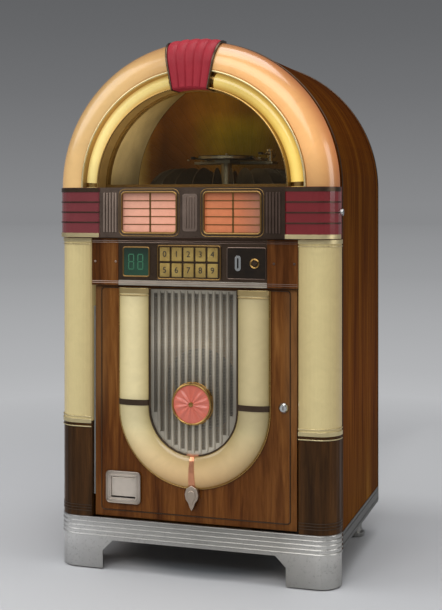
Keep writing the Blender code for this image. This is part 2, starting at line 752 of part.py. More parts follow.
def build_kick_plate():
    shape = bmesh.new()
    outer = skirt_line(PILASTER_CORNER, HALF_WIDTH, PILASTER_FRONT_Y)
    inner = skirt_line(PILASTER_CORNER - KICK_WALL, HALF_WIDTH - KICK_WALL,
                       PILASTER_FRONT_Y + KICK_WALL)
    add_prism(shape, "Z", [outer + list(reversed(inner))], KICK_LIFT, KICK_TOP_Z)
    plate = make_object("kick_plate", shape, "chrome")
    cutter = bmesh.new()
    top_half = KICK_ARCH_HALF - KICK_ARCH_SLOPE
    arch = [(-KICK_ARCH_HALF, -CUT_OVERRUN), (KICK_ARCH_HALF, -CUT_OVERRUN),
            (KICK_ARCH_HALF, KICK_ARCH_TOP_Z - KICK_ARCH_SLOPE), (top_half, KICK_ARCH_TOP_Z),
            (-top_half, KICK_ARCH_TOP_Z), (-KICK_ARCH_HALF, KICK_ARCH_TOP_Z - KICK_ARCH_SLOPE)]
    add_prism(cutter, "Y", [arch], PILASTER_FRONT_Y - CUT_OVERRUN,
              PILASTER_FRONT_Y + KICK_WALL + CUT_OVERRUN)
    add_boolean(plate, cutter, "DIFFERENCE", "kick_plate_arch")


def build_hinges():
    """Three long hinges: the barrel lies on the door's axis and the leaf on the case."""
    upper = hinge_half((UPPER_HINGE_X, UPPER_HINGE_Y), HINGE_RADIUS, HINGE_LEAF_LENGTH,
                       (1, 0), (0, 1))
    lower = hinge_half((LOWER_HINGE_X, LOWER_HINGE_Y), LOWER_HINGE_RADIUS, HINGE_LEAF_LENGTH,
                       (-1, 0), (0, 1))
    rear = hinge_half((REAR_HINGE_X, REAR_HINGE_Y), HINGE_RADIUS, REAR_HINGE_LEAF_LENGTH,
                      (0, -1), (-1, 0))
    upper_low = UPPER_DOOR_BOTTOM_Z + RUN
    spans = (("upper_hinge", upper, upper_low, upper_low + UPPER_HINGE_LENGTH),
             ("lower_hinge", lower, LOWER_DOOR_BOTTOM_Z + LOWER_HINGE_INSET,
              LOWER_DOOR_TOP_Z - LOWER_HINGE_INSET),
             ("rear_hinge", rear, FLOOR_Z + REAR_HINGE_INSET, ARCH_Z - RUN))
    for name, outline, low, high in spans:
        shape = bmesh.new()
        add_prism(shape, "Z", [outline], low, high)
        make_object(name, shape, "steel")


# Pilasters with their colour cylinders

def build_pilasters():
    backs = (CASE_FRONT_Y, CASE_FRONT_Y - SEAT)
    pieces = (("pilaster_base_", "burl", BASE_WALL, KICK_TOP_Z + SEAT, PILASTER_BASE_TOP_Z),
              ("pilaster_lens_", "cream_lens", LENS_WALL, PILASTER_BASE_TOP_Z + SEAT,
               PILASTER_TOP_Z))
    for name, finish, wall, low, high in pieces:
        section = corner_channel(PILASTER_INNER_X, HALF_WIDTH, PILASTER_FRONT_Y,
                                 PILASTER_CORNER, wall, *backs)
        make_pair(name, section, low, high, finish)

    low, high = bracket_places()
    start = low + BRACKET_HEIGHT + SEAT
    top = high - RUN
    inner = CYLINDER_RADIUS - CYLINDER_WALL
    profile = [(inner, start), (CYLINDER_RADIUS, start), (CYLINDER_RADIUS, top), (inner, top)]
    for side, x in (("left", -CYLINDER_X), ("right", CYLINDER_X)):
        shape = bmesh.new()
        add_turned(shape, profile, "Z", (x, CYLINDER_Y, 0), SMALL_ROUND_STEPS)
        make_object("colour_cylinder_" + side, shape, "tint", (x, CYLINDER_Y, start))


# The control strip: window, keys and coin entry

def centred(x, z, width, height, margin=0):
    return rectangle(x - width / 2 - margin, x + width / 2 + margin,
                     z - height / 2 - margin, z + height / 2 + margin)


def key_places():
    """Each key's middle, left to right along the upper row and then the lower one."""
    places = []
    for row in range(KEY_ROWS):
        z = CONTROL_ROW_Z + ((KEY_ROWS - 1) / 2 - row) * KEY_PITCH_Z
        for column in range(KEY_COLUMNS):
            places.append((KEYPAD_X + (column - (KEY_COLUMNS - 1) / 2) * KEY_PITCH_X, z))
    return places


def build_control_strip():
    hole_width = COIN_PLATE_WIDTH - 2 * COIN_HOLE_BORDER
    hole_height = COIN_PLATE_HEIGHT - 2 * COIN_HOLE_BORDER
    loops = [rectangle(-CONTROL_HALF, CONTROL_HALF, CONTROL_BOTTOM_Z, PILASTER_TOP_Z)]
    loops.append(centred(WINDOW_X, CONTROL_ROW_Z, WINDOW_WIDTH, WINDOW_HEIGHT, SEAT))
    loops.append(centred(COIN_X, CONTROL_ROW_Z, hole_width, hole_height))
    for x, z in key_places():
        loops.append(centred(x, z, KEY_WIDTH, KEY_HEIGHT, SEAT))
    shape = bmesh.new()
    add_prism(shape, "Y", loops, CONTROL_FRONT_Y, CASE_FRONT_Y)
    make_object("control_panel", shape, "dark_trim")

    shape = bmesh.new()
    front = CONTROL_FRONT_Y - WINDOW_PROUD
    window = centred(WINDOW_X, CONTROL_ROW_Z, WINDOW_WIDTH, WINDOW_HEIGHT)
    add_prism(shape, "Y", [window], front, front + WINDOW_THICKNESS)
    make_object("credit_window", shape, "green_lens")

    for index, (x, z) in enumerate(key_places()):
        shape = bmesh.new()
        front = CONTROL_FRONT_Y - KEY_PROUD
        add_prism(shape, "Y", [centred(x, z, KEY_WIDTH, KEY_HEIGHT)], front, front + KEY_DEPTH)
        key = make_object("key_%d" % index, shape, "key_gold", (x, front, z))
        bevel = key.modifiers.new("edge", "BEVEL")
        bevel.width = KEY_BEVEL
        bevel.segments = 1

    plate_rear = CONTROL_FRONT_Y - SEAT
    plate_front = plate_rear - COIN_PLATE_THICKNESS
    slot = centred(COIN_X + COIN_SLOT_DX, CONTROL_ROW_Z, COIN_SLOT_WIDTH, COIN_SLOT_HEIGHT)
    button_place = (COIN_X + BUTTON_DX, CONTROL_ROW_Z)
    shape = bmesh.new()
    loops = [centred(COIN_X, CONTROL_ROW_Z, COIN_PLATE_WIDTH, COIN_PLATE_HEIGHT), slot,
             circle(button_place, BUTTON_RADIUS + SEAT, SMALL_ROUND_STEPS)]
    add_prism(shape, "Y", loops, plate_front, plate_rear)
    make_object("coin_entry_plate", shape, "dark_trim")

    shape = bmesh.new()
    front = plate_front - BUTTON_PROUD
    profile = [(0, front), (BUTTON_RADIUS - BUTTON_CHAMFER, front),
               (BUTTON_RADIUS, front + BUTTON_CHAMFER),
               (BUTTON_RADIUS, front + BUTTON_LENGTH), (0, front + BUTTON_LENGTH)]
    add_turned(shape, profile, "Y", (button_place[0], 0, button_place[1]), SMALL_ROUND_STEPS)
    make_object("coin_return_button", shape, "chrome", (button_place[0], front, button_place[1]))

    shape = bmesh.new()
    body_front = CASE_FRONT_Y + SEAT
    add_box(shape, (COIN_X - ACCEPTOR_WIDTH / 2, body_front, ACCEPTOR_BOTTOM_Z),
            (COIN_X + ACCEPTOR_WIDTH / 2, body_front + ACCEPTOR_DEPTH, ACCEPTOR_TOP_Z))
    acceptor = make_object("coin_acceptor", shape, "alloy")
    throat = bmesh.new()
    outline = centred(COIN_X, CONTROL_ROW_Z, hole_width, hole_height, -SEAT)
    add_prism(throat, "Y", [outline], CONTROL_FRONT_Y + ACCEPTOR_SETBACK, body_front + CUT_OVERRUN)
    add_boolean(acceptor, throat, "UNION", "coin_throat")


# The lower door: wood, lens, grille and coin return

def build_lower_door(axis):
    cup = centred(COIN_CUP_X, COIN_CUP_Z, COIN_CUP_WIDTH, COIN_CUP_HEIGHT, SEAT)
    loops = [rectangle(-LOWER_DOOR_HALF, LOWER_DOOR_HALF, LOWER_DOOR_BOTTOM_Z, LOWER_DOOR_TOP_Z),
             u_outline(U_INNER - GRILLE_LAP, U_TOP_Z - GRILLE_LAP), cup]
    shape = bmesh.new()
    add_prism(shape, "Y", loops, FRONT_Y, FRONT_Y + LOWER_DOOR_THICKNESS)
    make_carried("lower_door_panel", shape, "panel_wood", axis)

    half = U_INNER - U_BEZEL - 3 * SEAT
    loops = [u_outline(half, U_TOP_Z)]
    slots = int((half - GRILLE_BORDER - GRILLE_SLOT_WIDTH) / GRILLE_PITCH) + 1
    for index in range(-slots, slots):
        x = (index + 0.5) * GRILLE_PITCH
        reach = half - GRILLE_BORDER
        edge = abs(x) + GRILLE_SLOT_WIDTH / 2
        if edge < reach:
            low = U_CENTRE_Z - math.sqrt(reach ** 2 - edge ** 2)
            loops.append(rectangle(x - GRILLE_SLOT_WIDTH / 2, x + GRILLE_SLOT_WIDTH / 2,
                                   low, U_TOP_Z - GRILLE_BORDER))
    shape = bmesh.new()
    add_prism(shape, "Y", loops, ON_PANEL_Y - GRILLE_THICKNESS, ON_PANEL_Y)
    make_carried("grille", shape, "grille_grey", axis)

    shape = bmesh.new()
    third = MEDALLION_DEPTH / 3
    profile = [(0, ON_GRILLE_Y), (MEDALLION_RADIUS, ON_GRILLE_Y),
               (MEDALLION_RADIUS, ON_GRILLE_Y - third),
               (MEDALLION_RADIUS - third, ON_GRILLE_Y - 2 * third),
               (MEDALLION_RADIUS / 2, ON_GRILLE_Y - MEDALLION_DEPTH + MEDALLION_CROWN),
               (0, ON_GRILLE_Y - MEDALLION_DEPTH)]
    add_turned(shape, profile, "Y", (0, 0, MEDALLION_Z))
    make_carried("grille_medallion", shape, "medallion", axis)

    shape = bmesh.new()
    half = (U_OUTER - U_INNER) / 2
    outside = u_bulge(half, U_RISE)
    inside = list(reversed(u_bulge(half - U_WALL, U_RISE - U_WALL)))
    section = [(U_INNER, ON_PANEL_Y)] + outside + [(U_OUTER, ON_PANEL_Y),
                                                   (U_OUTER - U_WALL, ON_PANEL_Y)]
    section += inside + [(U_INNER + U_WALL, ON_PANEL_Y)]
    add_sweep(shape, u_rings(section))
    make_carried("u_lens", shape, "cream_lens", axis)

    build_clasps(axis, half)
    build_coin_return(axis)


def build_clasps(axis, half):
    """The bezel inside the lens, with three bands over the lens and a finial below."""
    outer = U_INNER - 2 * SEAT
    front = ON_PANEL_Y - U_BEZEL_RISE
    section = [(outer - U_BEZEL, ON_PANEL_Y), (outer - U_BEZEL, front), (outer, front),
               (outer, ON_PANEL_Y)]
    shape = bmesh.new()
    add_sweep(shape, u_rings(section))
    clasps = make_carried("u_clasps", shape, "dark_trim", axis)

    inside = u_bulge(half + SEAT, U_RISE + SEAT)
    outside = u_bulge(half + SEAT + CLASP_WALL, U_RISE + SEAT + CLASP_WALL)
    band = outside + list(reversed(inside))
    bands = bmesh.new()
    add_prism(bands, "Z", [band], CLASP_Z - CLASP_HEIGHT / 2, CLASP_Z + CLASP_HEIGHT / 2)
    add_prism(bands, "Z", [mirrored(band)], CLASP_Z - CLASP_HEIGHT / 2, CLASP_Z + CLASP_HEIGHT / 2)
    facet = math.pi / ARCH_STEPS
    share = CLASP_HEIGHT / (facet * (U_OUTER + U_INNER))
    lowest = u_ring(band, -math.pi / 2, U_CENTRE_Z)
    before, after = ([near.lerp(far, share) for near, far in
                      zip(lowest, u_ring(band, -math.pi / 2 + turn, U_CENTRE_Z))]
                     for turn in (-facet, facet))
    add_sweep(bands, [before, lowest, after])
    add_boolean(clasps, bands, "UNION", "clasp_bands")

    top = U_CENTRE_Z - U_OUTER - SEAT
    middle = (top + FINIAL_BOTTOM_Z) / 2
    kite = [(0, FINIAL_BOTTOM_Z), (FINIAL_HALF, middle), (FINIAL_HALF / 2, top),
            (-FINIAL_HALF / 2, top), (-FINIAL_HALF, middle)]
    finial = bmesh.new()
    add_prism(finial, "Y", [kite], FINIAL_FRONT_Y, ON_PANEL_Y)
    add_boolean(clasps, finial, "UNION", "finial")


def build_coin_return(axis):
    shape = bmesh.new()
    back = FRONT_Y + COIN_CUP_DEPTH
    bezel_front = ON_PANEL_Y - COIN_BEZEL_THICKNESS
    half_width = COIN_CUP_WIDTH / 2
    half_height = COIN_CUP_HEIGHT / 2
    stages = [(half_width, half_height, back), (half_width, half_height, ON_PANEL_Y),
              (COIN_BEZEL_WIDTH / 2, COIN_BEZEL_HEIGHT / 2, ON_PANEL_Y),
              (COIN_BEZEL_WIDTH / 2, COIN_BEZEL_HEIGHT / 2, bezel_front),
              (half_width - COIN_CUP_WALL, half_height - COIN_CUP_WALL, bezel_front),
              (half_width - COIN_CUP_WALL, half_height - COIN_CUP_WALL, back - COIN_CUP_WALL)]
    add_stepped(shape, "Y", (COIN_CUP_X, COIN_CUP_Z), stages)
    make_carried("coin_return_cup", shape, "chrome", axis)

    shape = bmesh.new()
    pin_y = bezel_front + FLAP_PIN_SETBACK
    pin_z = COIN_CUP_Z + half_height - COIN_CUP_WALL - FLAP_PIN_DROP
    drop = pin_z - (COIN_CUP_Z - half_height + COIN_CUP_WALL) - FLAP_BOTTOM_GAP
    reach = half_width - COIN_CUP_WALL - FLAP_SIDE_GAP
    half_leaf = FLAP_THICKNESS / 2
    start = math.asin(half_leaf / FLAP_PIN_RADIUS) - math.pi / 2
    outline = arc((pin_y, pin_z), FLAP_PIN_RADIUS, start, math.pi - start, SMALL_ROUND_STEPS)
    outline += [(pin_y - half_leaf, pin_z - drop), (pin_y + half_leaf, pin_z - drop)]
    add_prism(shape, "X", [outline], COIN_CUP_X - reach, COIN_CUP_X + reach)
    make_object("coin_return_flap", shape, "chrome", (COIN_CUP_X, pin_y, pin_z))


# The upper door: frame, glass, arch, keystone and belt

def build_upper_door(axis):
    hole_low = ARCH_Z + GLASS_LAP
    hole_radius = GLASS_RADIUS - GLASS_LAP
    start = math.asin(GLASS_LAP / hole_radius)
    hole = arc((0, ARCH_Z), hole_radius, start, math.pi - start, 2 * ARCH_STEPS)
    shape = bmesh.new()
    add_prism(shape, "Y", [arched_outline(DOOR_PLATE_RADIUS, UPPER_DOOR_BOTTOM_Z), hole],
              DOOR_PLATE_FRONT_Y, DOOR_PLATE_REAR_Y)
    make_carried("upper_door_frame", shape, "walnut", axis)

    shape = bmesh.new()
    pane = arc((0, ARCH_Z), GLASS_RADIUS, 0, math.pi, 2 * ARCH_STEPS)
    glass_front = ON_PLATE_Y - GLASS_THICKNESS
    add_prism(shape, "Y", [pane], glass_front, ON_PLATE_Y)
    make_carried("dome_glass", shape, "glass", axis)

    build_arch(axis, glass_front)
    build_belt(axis)


def build_arch(axis, glass_front):
    shape = bmesh.new()
    section = corner_channel(ARCH_LENS_INNER, HALF_WIDTH, ARCH_FRONT_Y, ARCH_CORNER, LENS_WALL,
                             ON_PLATE_Y, DOOR_PLATE_REAR_Y)
    add_sweep(shape, arch_rings(section, 0, math.pi, 2 * ARCH_STEPS))
    make_carried("arch_lens", shape, "peach_lens", axis)

    web_rear = glass_front - SEAT
    web_front = web_rear - ARCH_TRIM_WALL
    inner_lip = REVEAL_RADIUS + ARCH_TRIM_WALL
    outer_lip = DIVIDER_RADIUS + ARCH_TRIM_WALL
    section = [(REVEAL_RADIUS, ARCH_FRONT_Y), (inner_lip, ARCH_FRONT_Y), (inner_lip, web_front),
               (DIVIDER_RADIUS, web_front), (DIVIDER_RADIUS, ARCH_FRONT_Y),
               (outer_lip, ARCH_FRONT_Y), (outer_lip, ON_PLATE_Y), (DIVIDER_RADIUS, ON_PLATE_Y),
               (DIVIDER_RADIUS, web_rear), (REVEAL_RADIUS, web_rear)]
    shape = bmesh.new()
    add_sweep(shape, arch_rings(section, 0, math.pi, 2 * ARCH_STEPS))
    make_carried("arch_trough", shape, "chrome", axis)

    centre = ((inner_lip + DIVIDER_RADIUS) / 2, web_front - SEAT - ARCH_TUBE_RADIUS)
    section = circle(centre, ARCH_TUBE_RADIUS, SMALL_ROUND_STEPS)
    shape = bmesh.new()
    add_sweep(shape, arch_rings(section, 0, math.pi, 2 * ARCH_STEPS))
    make_carried("arch_tube", shape, "yellow_lens", axis)

    outer = HALF_WIDTH + KEYSTONE_TOP_RISE
    inner = HALF_WIDTH + SEAT
    back = ARCH_FRONT_Y - SEAT
    middle = (HALF_WIDTH - ARCH_CORNER, ARCH_FRONT_Y + ARCH_CORNER)
    deep = outer - middle[0]
    section = [(REVEAL_RADIUS, back), (REVEAL_RADIUS, KEYSTONE_FRONT_Y)]
    section += [(middle[0], KEYSTONE_FRONT_Y)]
    section += arc(middle, deep, -math.pi / 2, 0, CORNER_STEPS)[1:]
    section += [(outer, DOOR_PLATE_REAR_Y), (inner, DOOR_PLATE_REAR_Y)]
    section += arc(middle, ARCH_CORNER + SEAT, 0, -math.pi / 2, CORNER_STEPS)
    start = math.pi / 2 - KEYSTONE_HALF_ANGLE
    shape = bmesh.new()
    add_sweep(shape, arch_rings(section, start, math.pi - start, CORNER_STEPS))
    make_carried("keystone", shape, "red_lens", axis)


def build_belt(axis):
    section = corner_channel(BELT_CAP_INNER_X, HALF_WIDTH, BELT_FRONT_Y, ARCH_CORNER, BELT_CAP_WALL,
                             ON_PLATE_Y, DOOR_PLATE_REAR_Y)
    make_pair("belt_cap_", section, UPPER_DOOR_BOTTOM_Z, BELT_TOP_Z, "red_lens", axis)

    low = UPPER_DOOR_BOTTOM_Z + TITLE_BORDER
    high = BELT_TOP_Z - TITLE_BORDER
    half = BELT_CAP_INNER_X - SEAT
    loops = [rectangle(-half, half, UPPER_DOOR_BOTTOM_Z, BELT_TOP_Z),
             rectangle(-TITLE_OUTER_X, -TITLE_INNER_X, low, high),
             rectangle(TITLE_INNER_X, TITLE_OUTER_X, low, high)]
    rear = TITLE_FRONT_Y + TITLE_FRAME_THICKNESS
    shape = bmesh.new()
    add_prism(shape, "Y", loops, TITLE_FRONT_Y, rear)
    make_carried("title_frame", shape, "dark_trim", axis)

    reach = TITLE_OUTER_X + TITLE_BOX_MARGIN
    shape = bmesh.new()
    add_box(shape, (-reach, rear + SEAT, low - TITLE_BOX_MARGIN),
            (reach, ON_PLATE_Y, high + TITLE_BOX_MARGIN))
    make_carried("title_lightbox", shape, "title_light", axis)


# The rear door and the two locks

def build_rear_door(axis):
    loops = [arched_outline(REAR_DOOR_RADIUS, FLOOR_Z + RUN)]
    for low in (REAR_SLOTS_LOW_Z, REAR_SLOTS_HIGH_Z):
        for index in range(REAR_SLOT_COUNT):
            z = low + index * REAR_SLOT_PITCH
            loops.append(rectangle(-REAR_SLOT_WIDTH / 2, REAR_SLOT_WIDTH / 2,
                                   z, z + REAR_SLOT_HEIGHT))
    shape = bmesh.new()
    add_prism(shape, "Y", loops, CASE_REAR_Y - REAR_DOOR_THICKNESS, CASE_REAR_Y)
    make_carried("rear_door", shape, "board", axis)


def build_locks():
    shape = bmesh.new()
    near = HALF_WIDTH + SEAT
    add_prism(shape, "X", lock_loops((UPPER_LOCK_Y, UPPER_LOCK_Z)), near, near + LOCK_THICKNESS)
    make_object("upper_door_lock", shape, "chrome", (near, UPPER_LOCK_Y, UPPER_LOCK_Z))

    shape = bmesh.new()
    loops = lock_loops((LOWER_LOCK_X, LOWER_LOCK_Z))
    add_prism(shape, "Y", loops, ON_PANEL_Y - LOCK_THICKNESS, ON_PANEL_Y)
    make_object("lower_door_lock", shape, "chrome", (LOWER_LOCK_X, ON_PANEL_Y, LOWER_LOCK_Z))


# Sound and cash box

def build_sound():
    low = FLOOR_Z + SEAT
    front = FRAME_FRONT_Y + FRAME_THICKNESS + SEAT
    rear = front + BAFFLE_THICKNESS
    shape = bmesh.new()
    loops = [rectangle(-CASE_INNER + SEAT, BAFFLE_RIGHT_X, low, BAFFLE_TOP_Z),
             circle((0, SPEAKER_Z), SPEAKER_HOLE)]
    add_prism(shape, "Y", loops, front, rear)
    make_object("speaker_baffle", shape, "board")

    start = rear + SEAT
    throat = start + SPEAKER_CONE_DEPTH
    back = throat + SPEAKER_MAGNET_DEPTH
    cone = SPEAKER_HOLE - SPEAKER_CONE_INSET
    profile = [(SPEAKER_FLANGE, start), (SPEAKER_FLANGE, start + SPEAKER_FLANGE_THICKNESS),
               (cone, start + SPEAKER_FLANGE_THICKNESS), (SPEAKER_THROAT, throat),
               (SPEAKER_MAGNET_RADIUS, throat), (SPEAKER_MAGNET_RADIUS, back), (0, back),
               (0, throat - SPEAKER_CAP_DEPTH - SPEAKER_CONE_WALL),
               (SPEAKER_THROAT - SPEAKER_CONE_WALL, throat - SPEAKER_CAP_DEPTH),
               (cone - SPEAKER_CONE_WALL, start)]
    shape = bmesh.new()
    add_turned(shape, profile, "Y", (0, 0, SPEAKER_Z))
    make_object("speaker", shape, "paper_cone")

    shape = bmesh.new()
    add_box(shape, (AMPLIFIER_LEFT_X, AMPLIFIER_FRONT_Y, low),
            (AMPLIFIER_LEFT_X + AMPLIFIER_WIDTH, AMPLIFIER_FRONT_Y + AMPLIFIER_DEPTH,
             low + AMPLIFIER_HEIGHT))
    amplifier = make_object("amplifier", shape, "alloy")
    bevel = amplifier.modifiers.new("edge", "BEVEL")
    bevel.width = AMPLIFIER_BEVEL
    bevel.segments = 1

    near = AMPLIFIER_FRONT_Y + AMPLIFIER_DEPTH + SEAT
    z = low + CONTROL_RAISE
    x = AMPLIFIER_LEFT_X + KNOB_DX
    shape = bmesh.new()
    outline = circle((x, z), KNOB_RADIUS, SMALL_ROUND_STEPS)
    outline[CORNER_STEPS // 2] = (x, z + KNOB_RADIUS + KNOB_POINTER)
    add_prism(shape, "Y", [outline], near, near + KNOB_LENGTH)
    make_object("volume_knob", shape, "black_plastic", (x, near, z))


def build_cash_box():
    low = FLOOR_Z + SEAT
    half_width = CASH_WIDTH / 2
    half_depth = CASH_DEPTH / 2
    centre = (CASH_LEFT_X + half_width, CASH_FRONT_Y + half_depth)
    stages = [(half_width, half_depth, low), (half_width, half_depth, low + CASH_HEIGHT),
              (half_width - CASH_WALL, half_depth - CASH_WALL, low + CASH_HEIGHT),
              (half_width - CASH_WALL, half_depth - CASH_WALL, low + CASH_WALL)]
    shape = bmesh.new()
    add_stepped(shape, "Z", centre, stages)
    make_object("cash_box", shape, "steel", (centre[0], CASH_FRONT_Y, low))


# The record mechanism

def drive_place():
    """Where the friction wheel touches the basket's rim."""
    distance = BASKET_RADIUS + SEAT + DRIVE_WHEEL_RADIUS
    return (distance * math.cos(DRIVE_ANGLE), MECH_Y + distance * math.sin(DRIVE_ANGLE))


def build_chassis():
    """Deck, rails, column, bridge and motor, bolted up as one frame."""
    side = CASE_INNER - SEAT
    shape = bmesh.new()
    add_box(shape, (-side, DECK_FRONT_Y, DECK_Z), (side, DECK_REAR_Y, DECK_TOP_Z))
    chassis = make_object("mech_chassis", shape, "alloy")
    into_deck = DECK_Z + DECK_THICKNESS / 2

    under = bmesh.new()
    for left, right in ((-side, -side + RAIL_SIZE), (side - RAIL_SIZE, side)):
        add_box(under, (left, DECK_FRONT_Y + RAIL_SIZE, DECK_Z - RAIL_SIZE),
                (right, DECK_REAR_Y - RAIL_SIZE, into_deck))
    x, y = drive_place()
    motor = [(0, DECK_Z - MOTOR_HEIGHT), (MOTOR_RADIUS, DECK_Z - MOTOR_HEIGHT),
             (MOTOR_RADIUS, into_deck), (0, into_deck)]
    add_turned(under, motor, "Z", (x, y, 0), SMALL_ROUND_STEPS)
    add_boolean(chassis, under, "UNION", "rails_and_motor")

    base_top = DECK_TOP_Z + COLUMN_BASE_HEIGHT
    into_bridge = BRIDGE_Z + BRIDGE_THICKNESS / 2
    column = bmesh.new()
    profile = [(0, into_deck), (COLUMN_BASE_RADIUS, into_deck), (COLUMN_BASE_RADIUS, base_top),
               (COLUMN_RADIUS, base_top), (COLUMN_RADIUS, into_bridge), (0, into_bridge)]
    add_turned(column, profile, "Z", (0, MECH_Y, 0))
    add_boolean(chassis, column, "UNION", "column")

    bar = BRIDGE_ARM
    cross = BRIDGE_REAR_Y - BOW_EAR_DEPTH - 2 * BRIDGE_ARM
    outline = [(-bar, BRIDGE_FRONT_Y), (bar, BRIDGE_FRONT_Y), (bar, cross), (BRIDGE_HALF, cross),
               (BRIDGE_HALF, BRIDGE_REAR_Y), (-BRIDGE_HALF, BRIDGE_REAR_Y), (-BRIDGE_HALF, cross),
               (-bar, cross)]
    bridge = bmesh.new()
    add_prism(bridge, "Z", [outline], BRIDGE_Z, BRIDGE_TOP_Z)
    add_boolean(chassis, bridge, "UNION", "bridge")

    ears = bmesh.new()
    top = BRIDGE_TOP_Z + BOW_PIVOT_RISE + BOW_PIN_RADIUS
    for way in (-1, 1):
        near = way * (BOW_HALF + SEAT)
        far = way * (BOW_HALF + SEAT + BOW_EAR_WIDTH)
        add_box(ears, (min(near, far), BOW_PIVOT_Y - BOW_EAR_DEPTH / 2, into_bridge),
                (max(near, far), BOW_PIVOT_Y + BOW_EAR_DEPTH / 2, top))
    add_boolean(chassis, ears, "UNION", "bow_ears")


def build_carousel(axis):
    low = BASKET_BOTTOM_Z
    base = low + BASKET_BASE_THICKNESS
    bore = COLUMN_RADIUS + SEAT
    inner = BASKET_RADIUS - BASKET_RIM_WALL
    hub = BASKET_HUB + BASKET_HUB_WALL
    profile = [(bore, low), (BASKET_RADIUS, low), (BASKET_RADIUS, BASKET_RIM_TOP_Z),
               (inner, BASKET_RIM_TOP_Z), (inner, base),
               (hub, base), (hub, BASKET_HUB_TOP_Z), (BASKET_HUB, BASKET_HUB_TOP_Z),
               (BASKET_HUB, base), (bore, base)]
    shape = bmesh.new()
    add_turned(shape, profile, "Z", (0, MECH_Y, 0), ROUND_STEPS + CORNER_STEPS)
    make_carried("carousel_basket", shape, "alloy", axis)

    shape = bmesh.new()
    rest = [(RECORD_RING - BASKET_REST_HALF, base + SEAT), (RECORD_RING + BASKET_REST_HALF, base + SEAT),
            (RECORD_RING + BASKET_REST_HALF, RECORD_BOTTOM_Z + BASKET_REST_DEPTH),
            (RECORD_RING - BASKET_REST_HALF, RECORD_BOTTOM_Z + BASKET_REST_DEPTH)]
    add_turned(shape, rest, "Z", (0, MECH_Y, 0), ROUND_STEPS + CORNER_STEPS)
    records = make_carried("carousel_records", shape, "vinyl", axis)
    shape = bmesh.new()
    for index in range(RECORD_COUNT):
        angle = 2 * math.pi * (index + 0.5) / RECORD_COUNT
        radial = Vector((math.cos(angle), math.sin(angle), 0))
        centre = Vector((0, MECH_Y, RECORD_BOTTOM_Z + RECORD_RADIUS)) + radial * RECORD_RING
        add_disc(shape, centre, radial, RECORD_RADIUS, RECORD_THICKNESS)
    add_boolean(records, shape, "UNION", "record_discs")

    x, y = drive_place()
    start = DECK_TOP_Z + SEAT
    profile = [(0, start), (DRIVE_SHAFT_RADIUS, start), (DRIVE_SHAFT_RADIUS, low),
               (DRIVE_WHEEL_RADIUS, low), (DRIVE_WHEEL_RADIUS, low + DRIVE_WHEEL_HEIGHT),
               (0, low + DRIVE_WHEEL_HEIGHT)]
    shape = bmesh.new()
    add_turned(shape, profile, "Z", (x, y, 0), ROUND_STEPS)
    make_object("carousel_drive_wheel", shape, "rubber", (x, y, start))


def build_turntable(axis):
    low = PLATTER_Z
    rim = low + PLATTER_HUB_HEIGHT
    top = low + PLATTER_THICKNESS
    profile = [(0, low), (PLATTER_HUB_RADIUS, low), (PLATTER_HUB_RADIUS, rim), (PLATTER_RADIUS, rim),
               (PLATTER_RADIUS, top), (PLATTER_SPINDLE, top),
               (PLATTER_SPINDLE, top + PLATTER_SPINDLE_HEIGHT), (0, top + PLATTER_SPINDLE_HEIGHT)]
    shape = bmesh.new()
    add_turned(shape, profile, "Z", (0, MECH_Y, 0))
    make_carried("turntable", shape, "alloy", axis)


def build_tonearm():
    start = BRIDGE_TOP_Z + SEAT
    post = [(0, start), (TONEARM_POST_RADIUS, start),
            (TONEARM_POST_RADIUS, start + TONEARM_POST_HEIGHT), (0, start + TONEARM_POST_HEIGHT)]
    shape = bmesh.new()
    add_turned(shape, post, "Z", (TONEARM_X, TONEARM_Y, 0), SMALL_ROUND_STEPS)
    tonearm = make_object("tonearm", shape, "chrome", (TONEARM_X, TONEARM_Y, start))

    head_low = RECORD_Z + RECORD_THICKNESS + TONEARM_CLEARANCE
    middle = head_low + TONEARM_HEAD_HEIGHT - TONEARM_RADIUS / 2
    end = TONEARM_Y - TONEARM_LENGTH
    arm = bmesh.new()
    outline = circle((TONEARM_X, middle), TONEARM_RADIUS, SMALL_ROUND_STEPS)
    add_prism(arm, "Y", [outline], end + TONEARM_HEAD_LENGTH / 2, TONEARM_Y)
    add_boolean(tonearm, arm, "UNION", "tonearm_tube")
    head = bmesh.new()
    add_box(head, (TONEARM_X - TONEARM_HEAD_WIDTH / 2, end, head_low),
            (TONEARM_X + TONEARM_HEAD_WIDTH / 2, end + TONEARM_HEAD_LENGTH,
             head_low + TONEARM_HEAD_HEIGHT))
    add_boolean(tonearm, head, "UNION", "tonearm_head")


def build_gripper():
    pivot_z = BRIDGE_TOP_Z + BOW_PIVOT_RISE
    rear = BOW_PIVOT_Y + BOW_BAR / 2
    inner = BOW_HALF - BOW_BAR
    outline = [(-BOW_HALF, rear), (-BOW_HALF, BOW_FRONT_Y), (-inner, BOW_FRONT_Y),
               (-inner, rear - BOW_BAR), (inner, rear - BOW_BAR), (inner, BOW_FRONT_Y),
               (BOW_HALF, BOW_FRONT_Y), (BOW_HALF, rear)]
    shape = bmesh.new()
    add_prism(shape, "Z", [outline], pivot_z - BOW_THICKNESS / 2, pivot_z + BOW_THICKNESS / 2)
    bow = make_object("gripper_arm", shape, "chrome", (0, BOW_PIVOT_Y, pivot_z))
    pin = bmesh.new()
    add_prism(pin, "X", [circle((BOW_PIVOT_Y, pivot_z), BOW_PIN_RADIUS, SMALL_ROUND_STEPS)],
              -BOW_HALF, BOW_HALF)
    add_boolean(bow, pin, "UNION", "bow_pin")


